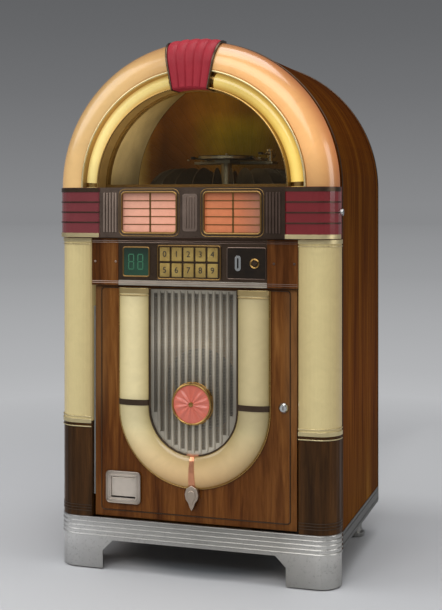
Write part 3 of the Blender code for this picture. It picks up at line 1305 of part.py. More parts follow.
def build_all():
    clear_scene()
    build_case()
    build_kick_plate()
    build_hinges()
    build_pilasters()
    build_control_strip()
    build_lower_door(add_axis("lower_door_axis", (LOWER_HINGE_X, LOWER_HINGE_Y, LOWER_DOOR_BOTTOM_Z)))
    build_upper_door(add_axis("upper_door_axis", (UPPER_HINGE_X, UPPER_HINGE_Y, UPPER_DOOR_BOTTOM_Z)))
    build_rear_door(add_axis("rear_door_axis", (REAR_HINGE_X, REAR_HINGE_Y, FLOOR_Z)))
    build_locks()
    build_sound()
    build_cash_box()
    build_chassis()
    build_carousel(add_axis("carousel_axis", (0, MECH_Y, BASKET_BOTTOM_Z)))
    build_turntable(add_axis("turntable_axis", (0, MECH_Y, PLATTER_Z)))
    build_tonearm()
    build_gripper()


build_all()
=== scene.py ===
"""Looks of the arched jukebox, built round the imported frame.

Metres, +Z up, the front faces -Y, and the origin is on the floor under the middle of the object.
"""
import math

import bmesh
import bpy
from mathutils import Matrix, Vector
from mathutils.geometry import tessellate_polygon


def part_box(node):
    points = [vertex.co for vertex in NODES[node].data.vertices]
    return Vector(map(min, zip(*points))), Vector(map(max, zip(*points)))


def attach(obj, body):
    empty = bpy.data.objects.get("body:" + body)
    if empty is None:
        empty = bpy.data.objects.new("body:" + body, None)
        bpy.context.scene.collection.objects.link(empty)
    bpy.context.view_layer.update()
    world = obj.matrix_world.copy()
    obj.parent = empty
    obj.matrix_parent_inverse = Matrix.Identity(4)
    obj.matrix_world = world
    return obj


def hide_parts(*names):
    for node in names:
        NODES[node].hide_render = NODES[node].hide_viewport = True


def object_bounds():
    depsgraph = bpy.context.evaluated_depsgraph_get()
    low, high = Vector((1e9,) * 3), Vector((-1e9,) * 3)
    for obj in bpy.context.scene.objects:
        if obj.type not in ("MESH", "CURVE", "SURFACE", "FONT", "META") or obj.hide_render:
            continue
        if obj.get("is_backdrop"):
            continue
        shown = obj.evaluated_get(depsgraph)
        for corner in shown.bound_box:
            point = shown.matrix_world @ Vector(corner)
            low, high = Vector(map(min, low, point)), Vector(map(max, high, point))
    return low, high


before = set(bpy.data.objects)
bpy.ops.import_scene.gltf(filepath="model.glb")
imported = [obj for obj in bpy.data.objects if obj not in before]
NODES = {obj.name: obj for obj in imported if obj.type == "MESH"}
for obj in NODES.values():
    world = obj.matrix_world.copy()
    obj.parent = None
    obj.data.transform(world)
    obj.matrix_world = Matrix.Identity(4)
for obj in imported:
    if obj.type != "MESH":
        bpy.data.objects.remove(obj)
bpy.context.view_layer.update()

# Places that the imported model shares
SEAT = 0.0003
HALF_WIDTH = 0.415
ARCH_Z = 1.100
CASE_FRONT_Y = -0.240
PLATE_Y = -0.2623
DOOR_FRONT_Y = -0.2620
ARCH_FRONT_Y = -0.320
ARCH_CORNER = 0.065
KEYSTONE_HALF = math.radians(10.4)
PILASTER_CORNER = 0.060
PILASTER_FRONT_Y = -0.305
PILASTER_INNER_X = 0.307
BELT_FRONT_Y = -0.324
BELT_CAP_INNER_X = 0.275
U_OUTER = 0.222
U_INNER = 0.133
U_CENTRE_Z = 0.474
U_TOP_Z = 0.810
PANEL_Y = -0.2903
MEDALLION_Z = 0.490
CONTROL_Z = 0.888
SPEAKER_Z = 0.520
AMPLIFIER_Z = 0.2286
TUBE_RADIUS = 0.30525
MECH_Y = 0.020
RECORD_RING = 0.1575
RECORD_RADIUS = 0.0875
RECORD_BOTTOM_Z = 0.985
RECORD_COUNT = 24

# Places and numbers of the scene's own pieces
STRIP_FRONT_Y = -0.3034
STRIP_BACK_Y = -0.3023
TITLE_Z = 0.9835
TITLE_PITCH = 0.0224
MESH_RADIUS = 0.1265
MESH_PITCH = 0.0041
REAR_Y = 0.3238
SCREW_RING = 0.380
PLAYED_Z = 1.1986
GROOVES = 9000.0
FLOOR_RADIUS = 60.0
SMOOTH_ANGLE = math.radians(35)
QUARTER = math.pi / 2
TURN = 2 * math.pi
SIDES = ((-1, "left"), (1, "right"))


# Shape helpers

def arc(centre, radius, start, end, steps):
    turns = [start + (end - start) * n / steps for n in range(steps + 1)]
    return [(centre[0] + radius * math.cos(a), centre[1] + radius * math.sin(a)) for a in turns]


def circle(centre, radius, steps=32):
    return arc(centre, radius, 0, TURN, steps)[:-1]


def chord(radius, off):
    """Half the length of a circle's chord at a distance from its middle."""
    return math.sqrt(max(radius ** 2 - off ** 2, 0.0))


def rounded(left, right, low, high, radius, steps=5):
    points = []
    for x, z, turn in ((right - radius, low + radius, -0.5), (right - radius, high - radius, 0),
                       (left + radius, high - radius, 0.5), (left + radius, low + radius, 1)):
        points += arc((x, z), radius, turn * math.pi, (turn + 0.5) * math.pi, steps)
    return points


def place(axis, first, second, along):
    if axis == "X":
        return Vector((along, first, second))
    if axis == "Y":
        return Vector((first, along, second))
    return Vector((first, second, along))


def add_prism(shape, axis, loops, low, high):
    """A solid between two levels along an axis; loops after the first one are holes."""
    flat = [[Vector((first, second, 0)) for first, second in loop] for loop in loops]
    points = [point for loop in flat for point in loop]
    near = [shape.verts.new(place(axis, p.x, p.y, low)) for p in points]
    far = [shape.verts.new(place(axis, p.x, p.y, high)) for p in points]
    if len(loops) == 1:
        shape.faces.new(near)
        shape.faces.new(list(reversed(far)))
    else:
        for a, b, c in tessellate_polygon(flat):
            shape.faces.new((near[a], near[b], near[c]))
            shape.faces.new((far[c], far[b], far[a]))
    start = 0
    for loop in flat:
        count = len(loop)
        for step in range(count):
            a, b = start + step, start + (step + 1) % count
            shape.faces.new((near[a], near[b], far[b], far[a]))
        start += count


def add_box(shape, low, high):
    loop = [(low[0], low[1]), (high[0], low[1]), (high[0], high[1]), (low[0], high[1])]
    add_prism(shape, "Z", [loop], low[2], high[2])


def add_plate(shape, left, right, low, high, radius, front, back, steps=3):
    """A flat plate with rounded corners that faces the front."""
    add_prism(shape, "Y", [rounded(left, right, low, high, radius, steps)], front, back)


def add_band(shape, path, thick, low, high, outward=0.0002):
    """A level strip that wraps an (x, y) path; thick runs outwards from the path."""
    outer, inner = [], []
    for index, point in enumerate(path):
        before, after = path[max(index - 1, 0)], path[min(index + 1, len(path) - 1)]
        along = (Vector(after) - Vector(before)).normalized()
        side = Vector((along.y, -along.x))
        inner.append(tuple(Vector(point) + side * outward))
        outer.append(tuple(Vector(point) + side * (outward + thick)))
    add_prism(shape, "Z", [outer + inner[::-1]], low, high)


def add_sweep(shape, rings, closed=False):
    """A solid through rings of points; closed joins the last ring to the first."""
    loops = [[shape.verts.new(point) for point in ring] for ring in rings]
    count = len(loops[0])
    pairs = list(zip(loops, loops[1:]))
    if closed:
        pairs.append((loops[-1], loops[0]))
    for one, two in pairs:
        for step in range(count):
            after = (step + 1) % count
            shape.faces.new((one[step], one[after], two[after], two[step]))
    if not closed:
        shape.faces.new(list(reversed(loops[0])))
        shape.faces.new(loops[-1])


def add_turned(shape, profile, axis, centre, steps):
    """A closed profile of (radius, height) turned about an axis; radius 0 lies on the axis."""
    columns = []
    hub = {}
    for step in range(steps):
        angle = TURN * step / steps
        column = []
        for index, (radius, height) in enumerate(profile):
            point = place(axis, radius * math.cos(angle), radius * math.sin(angle), height)
            if radius == 0:
                if index not in hub:
                    hub[index] = shape.verts.new(point + Vector(centre))
                column.append(hub[index])
            else:
                column.append(shape.verts.new(point + Vector(centre)))
        columns.append(column)
    for one, two in zip(columns, columns[1:] + columns[:1]):
        for index in range(len(profile)):
            after = (index + 1) % len(profile)
            corners = []
            for vert in (one[index], one[after], two[after], two[index]):
                if vert not in corners:
                    corners.append(vert)
            if len(corners) > 2:
                shape.faces.new(corners)


def add_drum(shape, points, axis, centre, steps):
    """A turned solid whose ends are flat and reach its axis."""
    add_turned(shape, [(0, points[0][1])] + points + [(0, points[-1][1])], axis, centre, steps)


def add_stud(shape, x, z, radii, levels, steps):
    """A low domed head on an upright face; the levels are those of its tip, brow and foot."""
    profile = [(0, levels[0]), (radii[0], levels[1]), (radii[1], levels[2]), (0, levels[2])]
    add_turned(shape, profile, "Y", (x, 0, z), steps)


def add_tube(shape, path, radius, flat, steps=8, closed=False):
    """A round bead along a path that lies in the plane whose normal is flat."""
    normal = Vector(flat).normalized()
    rings = []
    last = len(path) - 1
    for index, point in enumerate(path):
        if closed:
            before, after = path[index - 1], path[(index + 1) % len(path)]
        else:
            before, after = path[max(index - 1, 0)], path[min(index + 1, last)]
        side = (Vector(after) - Vector(before)).normalized().cross(normal).normalized()
        turns = [TURN * n / steps for n in range(steps)]
        rings.append([Vector(point) + side * (radius * math.cos(a)) + normal * (radius * math.sin(a))
                      for a in turns])
    add_sweep(shape, rings, closed)


def add_bead(shape, loop, y, radius, steps=8):
    """A round bead round a closed (x, z) loop."""
    add_tube(shape, [Vector((x, y, z)) for x, z in loop], radius, (0, 1, 0), steps, True)


def both_sides(near, far):
    """The (left, right) ranges on the two sides of the middle."""
    return (-far, -near), (near, far)


def solid(add, *details):
    """A shape of one part."""
    shape = bmesh.new()
    add(shape, *details)
    return shape


def ring_at(section, angle, z=ARCH_Z):
    """A section of (radius, y) points, turned about a level axis at a height."""
    across = Vector((math.cos(angle), 0, math.sin(angle)))
    return [Vector((0, y, z)) + across * radius for radius, y in section]


def arch_rings(section, start, end, steps):
    return [ring_at(section, start + (end - start) * n / steps) for n in range(steps + 1)]


def arch_path(radius, y, steps):
    return [ring[0] for ring in arch_rings([(radius, y)], 0, math.pi, steps)]


def u_rings(section, top, steps=48, straight=6):
    """Rings down one leg of the U, round its foot and up the other leg."""
    rise = [top + (U_CENTRE_Z - top) * n / straight for n in range(straight)]
    foot = [ring_at(section, -math.pi * n / steps, U_CENTRE_Z) for n in range(steps + 1)]
    return ([ring_at(section, 0, z) for z in rise] + foot
            + [ring_at(section, -math.pi, z) for z in reversed(rise)])


def linked(name, data):
    """A new object in the scene."""
    item = bpy.data.objects.new(name, data)
    bpy.context.scene.collection.objects.link(item)
    return item


def mesh_item(name, shape, finish):
    mesh = bpy.data.meshes.new(name)
    shape.to_mesh(mesh)
    shape.free()
    mesh.materials.append(finish)
    return linked(name, mesh)


def piece(name, shape, finish, body, replaces=(), bevel=0.0):
    """Turns a bmesh into a piece that rides on a body."""
    bmesh.ops.recalc_face_normals(shape, faces=shape.faces[:])
    item = mesh_item(name, shape, finish)
    item.data.shade_smooth()
    item.data.set_sharp_from_angle(angle=SMOOTH_ANGLE)
    if bevel:
        edge = item.modifiers.new("edge", "BEVEL")
        edge.width = bevel
        edge.segments = 2
        edge.limit_method = "ANGLE"
        edge.angle_limit = math.radians(40)
        edge.harden_normals = False
    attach(item, body)
    if replaces:
        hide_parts(*replaces)


def trim(name, shape, finish, body="cabinet", bevel=0.0):
    """A piece that rides on a body, the cabinet unless another is given."""
    piece(name, shape, finish, body, (), bevel)


# Material helpers

def srgb(text):
    """A linear colour from its sRGB hex text."""
    values = [int(text[n:n + 2], 16) / 255 for n in (0, 2, 4)]
    linear = [v / 12.92 if v <= 0.04045 else ((v + 0.055) / 1.055) ** 2.4 for v in values]
    return (*linear, 1.0)


def grey(level):
    return (level, level, level, 1.0)


class Value:
    """An output in a node tree; numbers among them add up and multiply like plain ones."""

    def __init__(self, nodes, socket):
        self.nodes = nodes
        self.socket = socket

    def __add__(self, other):
        return self.nodes.math("ADD", self, other)

    def __sub__(self, other):
        return self.nodes.math("SUBTRACT", self, other)

    def __rsub__(self, other):
        return self.nodes.math("SUBTRACT", other, self)

    def __mul__(self, other):
        return self.nodes.math("MULTIPLY", self, other)

    def __truediv__(self, other):
        return self.nodes.math("DIVIDE", self, other)


class Nodes:
    """A node tree and the few node shapes that this scene uses."""

    def __init__(self, tree, space):
        self.tree = tree
        self.place = self.node("ShaderNodeTexCoord").outputs[space]

    def node(self, kind, **settings):
        made = self.tree.nodes.new(kind)
        for label, value in settings.items():
            setattr(made, label, value)
        return made

    def put(self, value, target):
        """Links an output to an input, or sets a plain value or a hex text's colour on it."""
        if isinstance(value, Value):
            value = value.socket
        if isinstance(value, bpy.types.NodeSocket):
            self.tree.links.new(value, target)
        else:
            target.default_value = srgb(value) if isinstance(value, str) else value

    def filled(self, made, output, *values):
        """Puts values into a node's first inputs, and gives one of its outputs."""
        for target, value in zip(made.inputs, values):
            self.put(value, target)
        return Value(self, made.outputs[output])

    def math(self, operation, *values):
        return self.filled(self.node("ShaderNodeMath", operation=operation), 0, *values)

    def combine(self, *values):
        return self.filled(self.node("ShaderNodeCombineXYZ"), 0, *values)

    def axes(self):
        made = self.node("ShaderNodeSeparateXYZ")
        self.put(self.place, made.inputs[0])
        return [Value(self, output) for output in made.outputs]

    def mapped(self, scale, place=None):
        made = self.node("ShaderNodeMapping")
        made.inputs["Scale"].default_value = scale
        return self.filled(made, "Vector", place or self.place)

    def noise(self, scale, place=None, detail=4.0, rough=0.55, distortion=0.0):
        made = self.node("ShaderNodeTexNoise")
        for label, value in (("Scale", scale), ("Detail", detail), ("Roughness", rough),
                             ("Distortion", distortion), ("Vector", place or self.place)):
            self.put(value, made.inputs[label])
        return Value(self, made.outputs["Fac"])

    def ramp(self, source, stops, mode="LINEAR"):
        """A colour ramp; each stop has a place and a hex text or a grey level."""
        made = self.node("ShaderNodeValToRGB")
        made.color_ramp.interpolation = mode
        elements = made.color_ramp.elements
        while len(elements) < len(stops):
            elements.new(0.5)
        for element, (at, colour) in zip(elements, stops):
            element.position = at
            element.color = srgb(colour) if isinstance(colour, str) else grey(colour)
        return self.filled(made, "Color", source)

    def cloud(self, scale, low, high, detail=4.0, span=(0.3, 0.7)):
        """Soft patches between two tones."""
        return self.ramp(self.noise(scale, None, detail), ((span[0], low), (span[1], high)))

    def mix(self, share, first, second, kind="MIX"):
        made = self.node("ShaderNodeMix", data_type="RGBA", blend_type=kind)
        for index, value in ((0, share), (6, first), (7, second)):
            self.put(value, made.inputs[index])
        return Value(self, made.outputs[2])

    def times(self, shade, *others):
        for other in others:
            shade = self.mix(1.0, shade, other, "MULTIPLY")
        return shade

    def blend(self, share, first, second, ending):
        """Mixes two shaders into the tree's last node."""
        both = self.filled(self.node("ShaderNodeMixShader"), 0, share, first, second)
        self.put(both, ending.inputs[0])


class Finish(Nodes):
    """A Principled material."""

    def __init__(self, name, rough=0.4, metal=0.0, **inputs):
        self.material = bpy.data.materials.new(name)
        self.material.use_nodes = True
        super().__init__(self.material.node_tree, "Object")
        self.shader = self.tree.nodes["Principled BSDF"]
        for label, value in dict(inputs, Roughness=rough, Metallic=metal).items():
            self.shader.inputs[label.replace("_", " ")].default_value = value

    def colour(self, source):
        self.put(source, self.shader.inputs["Base Color"])
        return self

    def glow(self, source, strength):
        self.put(source, self.shader.inputs["Emission Color"])
        self.shader.inputs["Emission Strength"].default_value = strength
        return self

    def rough(self, source, low, high):
        made = self.node("ShaderNodeMapRange")
        made.inputs["To Min"].default_value = low
        made.inputs["To Max"].default_value = high
        self.put(self.filled(made, "Result", source), self.shader.inputs["Roughness"])
        return self

    def bump(self, source, distance, strength):
        made = self.node("ShaderNodeBump")
        for label, value in (("Distance", distance), ("Strength", strength), ("Height", source)):
            self.put(value, made.inputs[label])
        self.put(made.outputs["Normal"], self.shader.inputs["Normal"])
        return self

    def blended(self, share, first, second):
        self.blend(share, first, second, self.tree.nodes["Material Output"])
        return self.material


def most(first, second):
    return first.nodes.math("MAXIMUM", first, second)


def least(first, second):
    return first.nodes.math("MINIMUM", first, second)


def size(value):
    return value.nodes.math("ABSOLUTE", value)


def below(value, limit):
    return value.nodes.math("LESS_THAN", value, limit)


def above(value, limit):
    return value.nodes.math("GREATER_THAN", value, limit)


def distance(one, two):
    return one.nodes.math("SQRT", one * one + two * two)


def rising(value, slope, start):
    """0 up to a value, then rising by a slope to 1."""
    return least(most(value * slope - slope * start, 0.0), 1.0)


def hump(value, low, high):
    """1 in the middle of a range, falling to 0 at its ends."""
    off = (value - (low + high) / 2) / ((high - low) / 2)
    return most(least(1.0 - off * off, 1.0), 0.0)


def arch_radius(made):
    """How far a point is from the middle of the arch, or from the axis of the case below it."""
    x, _, z = made.axes()
    return distance(x, most(z - ARCH_Z, 0.0))


def record_radius(made):
    """How far a point is from the axis of the mechanism."""
    x, y, _ = made.axes()
    return distance(x, y - MECH_Y)


# Tones and profiles: each takes a finish, and gives a colour or a share by place

def toned(made, colour):
    return colour(made) if callable(colour) else colour


def plain(level):
    """An uneven profile round one level, for plastic that is lit all over."""
    return lambda made: made.noise(14.0) * 0.6 + (level - 0.3)


def across_arch(inner, outer):
    """1 in the middle between two radii of the arch."""
    return lambda made: hump(arch_radius(made), inner, outer)


def across_column(made):
    return hump(size(made.axes()[0]), 0.300, 0.420)


def across_u(made):
    x, _, z = made.axes()
    return hump(distance(x, least(z - U_CENTRE_Z, 0.0)), 0.131, 0.224)


def side_tone(left, right):
    """Painted light and shade: a colour that turns from the lit left side of the case to the shaded right
    one.
    """
    return lambda made: made.ramp(made.axes()[0] * 1.7 + 0.5, ((0.12, left), (0.88, right)))


def u_tone(left, right):
    """The same painted light and shade along the U, warmer where its bend nears the copper clasp."""
    def tone(made):
        warm = made.ramp(made.axes()[2], ((0.27, "ffe2d0"), (0.42, "ffffff")))
        return made.times(side_tone(left, right)(made), warm)
    return tone


def kick_tone(made):
    """Painted light and shade: brightest at its two corners, darker in its middle, along its foot and
    along its top edge under the case.
    """
    x, _, z = made.axes()
    tone = made.ramp(x * 1.2 + 0.5, ((0.04, "e0dfdd"), (0.22, "c3c1bd"), (0.52, "a9a7a2"),
                                     (0.80, "b2afa9"), (0.94, "d6d4cf")))
    return made.times(tone, made.ramp(z * 5.0, ((0.0, 0.66), (0.30, 0.86), (0.45, 1.0), (0.60, 1.0),
                                                (0.74, 0.72))))


def return_tone(made):
    """The coin return, brighter in its middle."""
    x, _, z = made.axes()
    middle = hump(x, -0.275, -0.149) * hump(z, 0.182, 0.296)
    return made.ramp(middle, ((0.1, "93877b"), (0.8, "dcd0c2")))


def clasp_tone(made):
    """The clasp at the foot of the U is copper, the two on its arms are bronze."""
    return made.ramp(size(made.axes()[0]) * 30.0, ((0.45, "dc9874"), (0.6, "55463a")))


def grille_tone(colour):
    """Painted light and shade: brightest in the middle of the grille, where the U's lamps reach it, and
    darker in bands by height, round the medallion and under the control strip.
    """
    def tone(made):
        x, _, z = made.axes()
        middle = made.ramp(hump(x, -0.135, 0.135), ((0.0, 0.56), (0.9, 1.0)))
        level = made.ramp(z, ((0.36, 0.86), (0.42, 0.66), (0.49, 0.50), (0.56, 0.62), (0.66, 1.0),
                              (0.72, 0.84), (0.80, 0.44)))
        return made.times(colour, middle, level)
    return tone


def u_fall(made):
    """Painted shade: 1 along the arms and the bend of the U, less beside its clasps and under the control
    strip.
    """
    z = made.axes()[2]
    return 1.0 - most(hump(z, 0.405, 0.515), rising(z, 14.0, 0.750))


def window_fall(made):
    """Painted shade: 1 in the lower half of the green window, less under its hood."""
    return rising(made.axes()[2] * -1.0, 22.0, -0.925)


def beside_keystone(made, slope, start):
    """The mask of the keystone's painted shadow: rises to 1 along the arch's left half, up to the
    keystone.
    """
    x = made.axes()[0]
    return rising(x, slope, start) * below(x, 0.0)


def arch_fall(made):
    """Painted shade: 1 along the arch, less at its right foot, in the keystone's painted shadow on its
    left and on the top's outer edge.
    """
    x, _, z = made.axes()
    foot = most(rising(z, 9.0, ARCH_Z), below(x, 0.0))
    outer = rising(arch_radius(made), 20.0, 0.366) * rising(z, 4.0, 1.13)
    return foot * (beside_keystone(made, 9.0, -0.19) * -0.55 + 1.0) * (1.0 - outer)


def tube_fall(made):
    """Painted shade: 1 along the light tube, less at its upper right, its left foot and in the keystone's
    painted shadow on its left.
    """
    x, _, z = made.axes()
    right = rising(z, 6.0, 1.2) * rising(x, 8.0, 0.0)
    left = least(rising(z, -8.0, 1.2), 0.8) * below(x, 0.0)
    return 1.0 - most(most(right, left), beside_keystone(made, 5.0, -0.27) * 0.9)


def door_fall(made, shade):
    """Painted shade on the wood round the foot of the U, less at the right, and paler wood along the
    door's two upright edges.
    """
    x, _, z = made.axes()
    level = made.ramp(z, ((0.20, "e8dcca"), (0.42, "dccdb6"), (0.56, "ffffff")))
    level = made.mix(rising(x, 9.0, 0.13), level, "ffffff")
    edge = rising(size(x), 40.0, 0.258) * rising(z, 8.0, 0.38)
    return made.mix(edge * 0.17, made.times(shade, level), "8f7350")


def reveal_tone(made):
    """Wood, with a tan edge where the window's round edge is seen through the arch: tan paint that also
    stands for painted light from the tube, with painted shade towards the arch's feet.
    """
    x, _, z = made.axes()
    rise = z - ARCH_Z
    lines = made.noise(60.0, made.mapped((1.0, 1.0, 0.06)))
    wood = made.ramp(lines, ((0.3, "2c1907"), (0.5, "402510"), (0.7, "59391c")))
    paint = made.times(made.cloud(40.0, "98763e", "ac884e"),
                       made.ramp(rise * 5.0, ((0.0, 0.35), (0.8, 1.0))))
    edge = below(distance(x, rise), 0.2805) * above(rise, 0.0005)
    return made.mix(edge, wood, paint)


def trough_tone(made):
    """Gold lacquer with painted light from the tube beside it, painted lit at the left and shaded at the
    right, and painted darker towards its feet.
    """
    height = made.ramp(made.axes()[2] * 5.0 - 5.5, ((0.0, 0.45), (0.8, 1.0)))
    patches = made.cloud(30.0, 0.85, 1.0, 3.0, (0.32, 0.66))
    return made.times(side_tone("ba9250", "94702e")(made), patches, height)


def liner_tone(made):
    """The board behind the window, with painted light: tan at the left, brown, then amber with an olive
    cast, and painted shade towards the bottom.
    """
    x, _, z = made.axes()
    tone = made.ramp(x * 2.0 + 0.8, (
        (0.0, "b99c60"), (0.05, "94763e"), (0.11, "694216"), (0.20, "502e0f"), (0.37, "603a12"),
        (0.60, "745014"), (0.80, "573b0e"), (1.0, "5a3f14")))
    olive = hump(z, 1.17, 1.36) * hump(x, -0.20, 0.10)
    tone = made.mix(olive * 0.5, tone, "6f6a10")
    height = made.ramp(z * 5.0 - 5.9, ((0.0, 0.54), (0.25, 0.70), (0.45, 0.84), (0.75, 1.16)))
    return made.times(tone, height, made.cloud(16.0, 0.75, 1.0, 3.0, (0.32, 0.66)))


def lining_tone(made):
    """The lining of the case's side and roof, with painted light brightest at the left and painted shade
    towards its foot and its rear.
    """
    x, y, z = made.axes()
    tone = made.ramp(x * 1.2 + 0.5, ((0.02, "ccb584"), (0.22, "a88d56"), (0.36, "8a6430"),
                                     (0.60, "6e4a1e"), (1.0, "7c5c2c")))
    height = made.ramp(z * 5.0 - 5.4, ((0.1, 0.26), (0.55, 0.7), (0.9, 1.0)))
    depth = made.ramp(y * 2.0 + 0.5, ((0.52, 1.0), (0.80, 0.62), (1.0, 0.32)))
    return made.times(tone, height, depth, made.cloud(16.0, 0.8, 1.0, 3.0, (0.32, 0.66)))


def standing_radius(made):
    """How far a point is from the middle of its own record, which stands in the ring."""
    rise = made.axes()[2] - (RECORD_BOTTOM_Z + RECORD_RADIUS)
    return distance(record_radius(made) - RECORD_RING, rise)


# Finishes

def grain(made, where, scales, swirls):
    """Broad figure and grain lines of wood."""
    broad = made.noise(scales[0], where, 3.0, distortion=swirls[0])
    return broad * 0.6 + made.noise(scales[1], where, 5.0, 0.62, swirls[1]) * 0.4


def veneer(name, stops, scale=1.0, stretch=0.07, coat=0.12, swirl=1.4, fall=None):
    """Polished wood: broad figure, grain lines and fine pores along the stretched axis."""
    made = Finish(name, Coat_Weight=coat, Coat_Roughness=0.12, Specular_IOR_Level=0.05)
    where = made.mapped((1.0, 1.0, stretch))
    value = grain(made, where, (11.0 * scale, 85.0 * scale), (swirl, swirl / 2))
    pores = made.noise(520.0 * scale, where, 2.0)
    shade = made.ramp(pores * 0.08 + (value - 0.04), stops)
    if fall:
        shade = fall(made, shade)
    return made.colour(shade).rough(pores, 0.26, 0.46).bump(pores, 0.00025, 0.35).material


def case_veneer():
    """Walnut whose grain follows the case round its arch, with painted shade that makes it greyer and
    darker towards the top.
    """
    made = Finish("case_walnut", Coat_Weight=0.04, Coat_Roughness=0.14, Specular_IOR_Level=0.0)
    x, y, z = made.axes()
    angle = made.math("ARCTAN2", most(z - ARCH_Z, 0.0), size(x))
    along = angle * HALF_WIDTH + least(z, ARCH_Z)
    wrapped = made.combine(y, made.math("SIGN", x) * 3.1, along)
    where = made.mapped((1.0, 1.0, 0.05), wrapped)
    wood = made.ramp(grain(made, where, (9.0, 80.0), (0.7, 0.2)),
                     ((0.30, "301304"), (0.45, "5c2d09"), (0.56, "744110"), (0.70, "925b20")))
    # Painted shade: darker and greyer towards the top.
    shade_by_height = made.ramp(z * 0.6, ((0.12, "f0ffff"), (0.30, "ffffff"), (0.60, "e0ebe7"),
                                (0.76, "cccfc8"), (0.90, "8c857a")))
    pores = made.noise(500.0, where, 2.0)
    made.colour(made.times(wood, shade_by_height)).rough(pores, 0.28, 0.46)
    return made.bump(pores, 0.00025, 0.35).material


def metal(name, colour, rough, spread=0.06, brushed=None, grime=None):
    """Metal with uneven polish; brushed is a stretch for fine parallel lines."""
    made = Finish(name, rough, 1.0)
    cloud = made.noise(26.0)
    tint = made.mix(0.35, toned(made, colour), made.ramp(cloud, ((0.3, 0.72), (0.7, 1.0))), "MULTIPLY")
    if grime:
        specks = made.noise(140.0, None, 3.0, 0.7)
        tint = made.mix(made.ramp(specks, ((0.56, 0.0), (0.72, 0.5))), tint, grime)
    made.colour(tint)
    if brushed:
        cloud = made.noise(260.0, made.mapped(brushed), 2.0)
        made.bump(cloud, 0.0001, 0.25)
    return made.rough(cloud, rough - spread, rough + spread).material


def lit_plastic(name, core, edge, profile, strength, depth=0.62, rough=0.22, fall=None, coat=0.5,
                specular=0.5, weakest=0.62):
    """Translucent plastic with a lamp behind it; profile gives 0 at its edges and 1 in the middle.

    core and edge can be colours or functions of the finish, such as painted light by side; fall paints
    shade on it where it gives 0.
    """
    made = Finish(name, rough, Coat_Weight=coat, Coat_Roughness=0.08, IOR=1.49,
                  Specular_IOR_Level=specular)
    shade = made.mix(profile(made), toned(made, edge), toned(made, core))
    if fall:
        shade = made.times(shade, made.ramp(fall(made), ((0.0, weakest), (1.0, 1.0))))
    cloud = made.noise(24.0, None, 3.0, distortion=1.2)
    shade = made.mix(0.5, shade, made.ramp(cloud, ((0.3, 0.86), (0.7, 1.0))), "MULTIPLY")
    made.colour(made.times(shade, grey(depth))).glow(shade, strength)
    return made.bump(made.noise(900.0, None, 1.0), 0.00012, 0.2).material


def gloss(name, colour, dark, rough=0.25, coat=0.4, scale=40.0, fall=None, **inputs):
    """Solid plastic or paint with faint unevenness in tone and gloss; fall gives shares by height, as
    painted shade.
    """
    made = Finish(name, rough, Coat_Weight=coat, Coat_Roughness=0.1, **inputs)
    shade = made.cloud(scale, dark, colour)
    if fall:
        shade = made.times(shade, made.ramp(made.axes()[2], fall))
    made.colour(shade).rough(made.noise(scale * 6, None, 3.0), rough - 0.06, rough + 0.08)
    return made.bump(made.noise(scale * 22, None, 2.0), 0.00015, 0.2).material


def lit_paint(name, tone, strength, rough=0.5, metallic=0.0, **inputs):
    """A surface that glows: a lamp, or painted light where the lamps' light falls on it."""
    made = Finish(name, rough, metallic, **inputs)
    shade = tone(made)
    return made.colour(shade).glow(shade, strength).material


def vinyl(name, rough, low, high, radius):
    """Vinyl that shines in rings round its middle; radius gives the distance from there."""
    made = Finish(name, rough, Specular_IOR_Level=0.7)
    made.colour(made.cloud(30.0, low, high))
    return made.bump(made.math("SINE", radius(made) * GROOVES), 0.0001, 0.4).material


def glass_finish():
    """A clear pane: what passes through is tinted a little and the rest mirrors the room."""
    made = Finish("dome_glass", 0.03, 1.0)
    made.colour(made.cloud(3.0, "b4b8b5", "c2c5c2"))
    clear = made.filled(made.node("ShaderNodeBsdfTransparent"), 0, made.cloud(4.0, "f4efe2", "fbf7ec"))
    slant = made.node("ShaderNodeLayerWeight").outputs["Facing"]
    return made.blended(made.math("POWER", slant, 5.0) * 0.978 + 0.022, clear, made.shader.outputs[0])


def floor_finish():
    """Board above, turned steel below: the feet are part of the same solid."""
    made = Finish("floor_and_feet", 0.5)
    wood = above(made.axes()[2], 0.0995)
    lines = made.noise(60.0, made.mapped((1.0, 0.06, 1.0)))
    board = made.ramp(lines, ((0.3, "5d4732"), (0.7, "83694c")))
    made.colour(made.mix(wood, made.cloud(90.0, "8e8d89", "a9a8a4"), board))
    made.put(1.0 - wood, made.shader.inputs["Metallic"])
    return made.rough(wood, 0.34, 0.75).material


def label_finish():
    """Paper labels: each record's place in the ring picks one of three plain tones."""
    made = Finish("record_labels", 0.6)
    x, y, _ = made.axes()
    turn = made.math("ARCTAN2", y - MECH_Y, x)
    number = made.math("FLOOR", turn * (RECORD_COUNT / TURN)) + RECORD_COUNT
    pick = made.math("FRACT", number * 0.3819)
    tone = made.ramp(pick, ((0.0, "a8402c"), (0.36, "c08a35"), (0.7, "8b8c5a")), "CONSTANT")
    return made.colour(made.mix(0.4, tone, made.cloud(300.0, 0.8, 1.0), "MULTIPLY")).material


def card_finish():
    """The lit windows: warm behind both, paler on the left, with painted shade towards their top and
    foot.
    """
    made = Finish("title_glow", 0.45, Coat_Weight=0.2)
    x, _, z = made.axes()
    tone = made.ramp(x * 1.9 + 0.5, ((0.1, "eeae94"), (0.42, "f6ac8e"), (0.58, "dc8252"),
                                     (0.76, "d0774b"), (0.88, "a0684e")))
    fall = made.ramp(hump(z, 0.925, 1.093), ((0.0, 0.44), (0.9, 1.0)))
    shade = made.times(tone, fall, made.cloud(60.0, 0.9, 1.0))
    return made.colour(made.times(shade, grey(0.6))).glow(shade, 0.36).material


